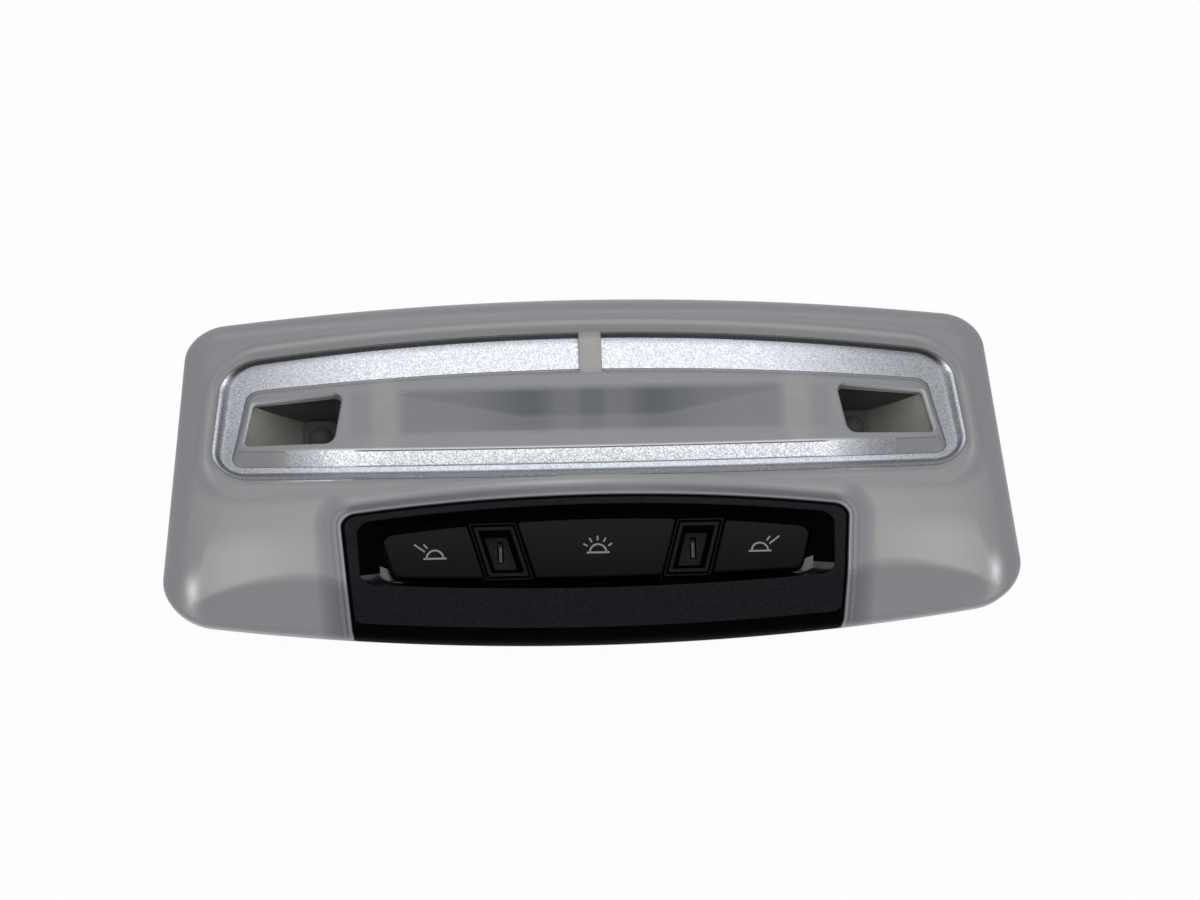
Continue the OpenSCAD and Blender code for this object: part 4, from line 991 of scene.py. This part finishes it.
def make_key(place, side):
    """Cap of a key: upright wall, rounded shoulder and flat tilted top."""
    turns = np.linspace(0, math.pi / 2, 7)
    rings = [at_height(key_outline(side, 0), KEY_FOOT)]
    for t in turns:
        p = key_outline(side, KEY_ROUND * (1 - math.cos(t)))
        rings.append(at_height(p, key_top(p, KEY_ROUND * (1 - math.sin(t)))))
    edge = rings[-1][:, :2]
    for share in (0.7, 0.35, 0.02):
        p = shrunk(edge, edge.mean(0), share)
        rings.append(at_height(p, key_top(p)))
    piece = make_piece(f"key_{place}_cap", *on_side(side, loft(rings)), KEY, f"key_{place}_group",
                       "key_black", [f"key_{place}"])
    return soften(piece, 40)


def port_outline(inset):
    """Outline of the right light port at a distance inside its frame: a parallelogram that leans outwards."""
    far, near = PORT_Y[0] - inset, PORT_Y[1] + inset
    hw = PORT_HW - PORT_GAP - inset
    far_x, near_x = (PORT_X + PORT_LEAN * (y - KEYS_MID) for y in (far, near))
    r = max(0.35 - inset * 0.1, 0.15)
    return four_sided((far_x + hw, far_x - hw), (near_x + hw, near_x - hw), (far, near), (r,) * 4, (8,) * 4)


# Section of a light port from its outer wall to its floor: inset, height, and finish of the band that
# follows, from 0 for the lighter rim and 1 for the slopes in painted shade to 2 for the grained floor
PORT_SECTION = ((0, PORT_BASE, 1), (0, PORT_TOP - 0.15, 0), (0.1, PORT_TOP, 0), (0.3, PORT_TOP, 1),
                (0.36, PORT_TOP - 0.5, 1), (0.7, PORT_TOP - 0.5, 1), (0.76, PORT_TOP - 0.1, 0),
                (0.86, PORT_TOP, 0), (1.45, PORT_TOP, 0), (1.56, PORT_TOP - 0.12, 1),
                (2.5, PORT_FLOOR + 0.1, 1), (2.62, PORT_FLOOR, 2))


def make_port(side):
    """Light port: frame with two raised edges, steep slopes in painted shade, and a floor slotted for its
    guide.
    """
    word = SIDES[side]
    rings = [at_height(port_outline(inset), z) for inset, z, _ in PORT_SECTION]
    floor, middle = rings[-1][:, :2], np.array([PORT_X, KEYS_MID])
    rings += [at_height(shrunk(floor, middle, share), PORT_FLOOR) for share in (0.6, 0.05)]
    piece = make_piece(f"port_bezel_{word}", *on_side(side, loft(rings)), PORT_RIM, slot="gloss_black",
                       stands_for=[f"port_frame_{word}"])
    bands = np.repeat([band for _, _, band in PORT_SECTION] + [2], len(floor))
    finished(piece, (PANEL_SHADE, PANEL), np.append(bands, [1, 2]))
    cut(piece, on_side(side, prism(slot_outline(0), PORT_BASE - 1, PORT_TOP)))
    return soften(piece, 40)


def slot_outline(inset, far_inset=0.0):
    """Outline of the slot in a port's floor, shrunk by an inset and held back from its far end."""
    hw, hl = GUIDE_W / 2 - inset, GUIDE_L / 2 - inset
    ends = (PORT_X + hw, PORT_X - hw)
    return four_sided(ends, ends, (KEYS_MID + hl - far_inset, KEYS_MID - hl), (0.2,) * 4, (2, 4, 2, 4))


def make_guide(side):
    """Light guide: a bar up from its light source, narrower at its tip, which stops short of the floor."""
    foot, tip = slot_outline(0.1), slot_outline(0.28, 0.9)
    end = shrunk(tip, tip.mean(0), 0.8)
    rings = [at_height(foot, LED_TOP)]
    rings += [at_height(p, PORT_FLOOR - down)
              for p, down in ((foot, 1.2), (tip, 0.8), (tip, 0.2), (end, 0.1))]
    return soften(make_piece(f"guide_bar_{SIDES[side]}", *on_side(side, loft(rings)), GUIDE,
                             slot="light_guide", stands_for=[f"light_pipe_{SIDES[side]}"]), 40)


def stroke(path, width):
    """Flat band along a path, as its two long edges: the path moved by half the width to either side."""
    path = np.array(path, float)
    ahead = np.gradient(path, axis=0)
    ahead /= np.linalg.norm(ahead, axis=1)[:, None]
    aside = np.column_stack([-ahead[:, 1], ahead[:, 0]]) * width / 2
    return path + aside, path - aside


def icon_strokes(rays):
    """Lamp icon: half round dome on a line, and short rays, given as pairs of radius and angle."""
    turn = np.linspace(0, math.pi, 25)
    dome, line = np.column_stack([np.cos(turn), np.sin(turn)]) * 1.7, [(-2.35, -0.05), (2.35, -0.05)]
    strokes = [stroke(dome, 0.38), stroke(line, 0.38)]
    for start, end in rays:
        ends = [(r * math.cos(math.radians(a)), r * math.sin(math.radians(a))) for r, a in (start, end)]
        strokes.append(stroke(ends, 0.34))
    return strokes


def make_icon(place, centre, rays):
    """Icon printed on a key: each stroke is a thin slab that follows the key's tilted top."""
    points, faces = [], []
    for edges in icon_strokes(rays):
        rings = []
        for a, b in zip(*(edge + np.array(centre) for edge in edges)):
            pair, drops = np.array([a, a, b, b]), np.array([0.05, -0.02, -0.02, 0.05])
            rings.append(at_height(pair, key_top(pair, drops)))
        p, f = loft(rings)
        faces += [[k + len(points) for k in face] for face in f]
        points += p.tolist()
    return make_piece(f"icon_{place}", points, faces, ICON, f"key_{place}_group")


# Rays of the icons, as radius in millimetres and angle in degrees of each end
LEFT_RAYS = [((2.5, 145), (5.2, 144)), ((2.6, 125), (3.8, 127))]
RIGHT_RAYS = [[(r, 180 - a) for r, a in ray] for ray in LEFT_RAYS]
CENTRE_RAYS = [((2.5, a), (3.5, a)) for a in (32, 61, 90, 119, 148)]

make_panel()
for make in (make_port, make_guide):
    for side in SIDES:
        make(side)
for place, side in (("left", -1), ("centre", 0), ("right", 1)):
    make_key(place, side)
for place, centre, rays in (("left", (-33.5, -19.4), LEFT_RAYS), ("centre", (0, -18.9), CENTRE_RAYS),
                            ("right", (33.5, -19.4), RIGHT_RAYS)):
    make_icon(place, centre, rays)


# Reading wells and snap arms

def make_well(side):
    """Shaft behind a window: from a small square foot to the window's outline along a smooth curve.

    The walls that look up take the painted lit grey of the slope, and the others the copy in painted shade.
    """
    corner = np.array([[WINDOW_X + WINDOW_W / 2, WINDOW_Y[0]]])
    top_z = face_z(corner, GROOVE_DEPTH + LENS_FLOOR + 0.2)[0]

    def ring(way, grow):
        """Outline at a share of the way up the shaft, grown outwards."""
        hw, hd, r = FOOT_HW + grow, FOOT_HD + grow, 1 + grow
        ends = (FOOT_X + hw, FOOT_X - hw)
        foot = four_sided(ends, ends, (MIDDLE_Y + hd, MIDDLE_Y - hd), (r,) * 4, (12, 8, 12, 8))
        p = foot + (window_outline(grow) - foot) * way ** 0.85
        return at_height(p, BOARD_TOP + (top_z - BOARD_TOP) * way)

    ways = np.linspace(0, 1, 16)
    rings = [ring(way, WELL_WALL) for way in ways] + [ring(way, WELL_GAP) for way in ways[::-1]]
    piece = make_piece(f"well_shaft_{SIDES[side]}", *on_side(side, loft(rings, joined=True)), WELL_SHADE,
                       slot="well_grey", stands_for=[f"reading_well_{SIDES[side]}"])
    normals = np.empty(len(piece.data.polygons) * 3)
    piece.data.polygons.foreach_get("normal", normals)
    return soften(finished(piece, [WELL], (normals[2::3] > 0.35).astype(int)), 40)


def make_snap_arm(name, far, x, top, finish, slot):
    """Arm inside the housing's wall that hooks into its window: its side view carried along the wall."""
    bow = FAR_BOW if far else NEAR_BOW
    back = -HOUSING_WALL - SNAP_GAP
    out, z = np.array([(back, top), (back - SNAP_T, top), (back - SNAP_T, SNAP_Z), (back, SNAP_Z),
                       (-HOOK_OUT, SNAP_Z + 1.6), (-HOOK_OUT, SNAP_Z + HOOK_H), (back, SNAP_Z + HOOK_H)]).T
    slant = math.atan(x / bow)
    rings = []
    for along in (-SNAP_W / 2, SNAP_W / 2):
        px = x + along * math.cos(slant) + out * math.sin(slant)
        py = FAR_Y - BODY_INSET - x * x / 2 / bow - along * math.sin(slant) + out * math.cos(slant)
        rings.append(np.column_stack([px, py if far else -py, z]))
    piece = make_piece(name, *loft(rings), finish, slot=slot)
    return toned(piece, np.full(len(piece.data.vertices), LENS_TONE)) if finish is LENS else piece


for side in SIDES:
    make_well(side)
for side, word in SIDES.items():
    make_snap_arm(f"lens_snap_{word}", True, side * 33.0, 24.6, LENS, "frosted_lens")
    make_snap_arm(f"panel_snap_{word}", False, side * 36.0, SCOOP_Z + 0.5, PANEL, "gloss_black")


# Finishes of the parts that stay as they are in the CAD model, by how their names start

FINISHES = {
    "reading_optic": OPTIC_SHADE, "reading_led": LED_RESIN, "dome_led": LED_RESIN, "port_led": LED_RESIN,
    "diffuser_tray": WHITE, "circuit_board": BOARD, "switch_body": BLACK, "switch_plunger": WHITE,
    "connector_shell": WHITE, "terminal": TINNED, "rear_housing": HOUSING, "spring_clip": SPRING,
    "board_screw": SCREW,
}
for name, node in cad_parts.items():
    for start, finish in FINISHES.items():
        if name.startswith(start):
            node.data.materials.clear()
            node.data.materials.append(finish)


# Floor, light and camera

def backdrop_share(tree):
    """1 for rays from the camera and for mirrored and refracted ones, and 0 for the rest."""
    path = add(tree, "LightPath").outputs
    share = path["Is Camera Ray"]
    for ray in ("Is Glossy Ray", "Is Transmission Ray"):
        share = add(tree, "Math", {0: share, 1: path[ray]}, operation="MAXIMUM")
    return share


def make_floor():
    """Plain pale floor, nearly white to the camera, which keeps the lamp's shadow and is clear from below."""
    half, low, seen = 3.0, -0.0001, 0.965
    mesh = bpy.data.meshes.new("floor")
    corners = [(-half, -half, low), (half, -half, low), (half, half, low), (-half, half, low)]
    mesh.from_pydata(corners, [], [(0, 1, 2, 3)])
    floor = new_object("floor", mesh)
    material = bpy.data.materials.new("Pale_paper")
    tree = empty_tree(material)
    paper = add(tree, "BsdfDiffuse", {"Color": srgb("#f2f2f2")})
    glow = add(tree, "Emission", {"Color": (1, 1, 1, 1), "Strength": 1.0})
    share = add(tree, "Math", {0: backdrop_share(tree), 1: seen}, operation="MULTIPLY")
    mixed = add(tree, "MixShader", {0: share, 1: paper, 2: glow})
    below = add(tree, "NewGeometry").outputs["Backfacing"]
    clear = add(tree, "BsdfTransparent")
    either = add(tree, "MixShader", {0: below, 1: mixed, 2: clear})
    add(tree, "OutputMaterial", {"Surface": either})
    mesh.materials.append(material)


def make_world():
    """White surroundings, full to the camera and half as strong as light on the lamp."""
    world = bpy.data.worlds.new("studio")
    bpy.context.scene.world = world
    tree = empty_tree(world)
    strength = add(tree, "MapRange", {"Value": backdrop_share(tree), "To Min": 0.5, "To Max": 1.0})
    light = add(tree, "Background", {"Color": (1, 1, 1, 1), "Strength": strength})
    add(tree, "OutputWorld", {"Surface": light})


def make_light(name, place, size, power):
    """White softbox of a size in metres, turned to the lamp."""
    data = bpy.data.lights.new(name, "AREA")
    data.shape = "RECTANGLE"
    data.size, data.size_y = size
    data.energy = power
    light = new_object(name, data)
    light.location = place
    light.rotation_euler = (-Vector(place)).to_track_quat("-Z", "Y").to_euler()


def make_camera():
    """Camera of the photograph, fitted to the lamp's outline and the marks on its face.

    Distances are in metres. Focal length, centre, width and height are in pixels of the photograph.
    """
    distance, target = 0.480, (0, 0, 0.0235)
    focal, centre, width, height = 2292.263, (593.5, 467.8), 1200, 900
    data = bpy.data.cameras.new("camera")
    data.sensor_width = 36
    data.lens = focal / width * data.sensor_width
    data.shift_x = (width / 2 - centre[0]) / width
    data.shift_y = (centre[1] - height / 2) / width
    data.clip_start, data.clip_end = 0.01, 20
    azimuth, off_vertical, roll = (Matrix.Rotation(math.radians(angle), 4, axis)
                                   for angle, axis in ((-16.081, "Z"), (14.0, "X"), (14.353, "Z")))
    camera = new_object("camera", data)
    camera.matrix_world = (Matrix.Translation(target) @ azimuth @ off_vertical
                           @ Matrix.Translation((0, 0, distance)) @ roll)
    bpy.context.scene.camera = camera


make_floor()
make_world()
for name, place, size, power in (("overhead", (0.06, 0.24, 0.90), (0.6, 0.6), 1.7),
                                 ("far", (0.0, 0.75, 0.6), (0.9, 0.25), 1.3),
                                 ("near_left", (-0.6, -0.55, 0.5), (0.3, 0.3), 0.9),
                                 ("near_right", (0.6, -0.55, 0.5), (0.3, 0.3), 0.9)):
    make_light(name, place, size, power)
make_camera()
bpy.context.scene.view_settings.view_transform = "Standard"
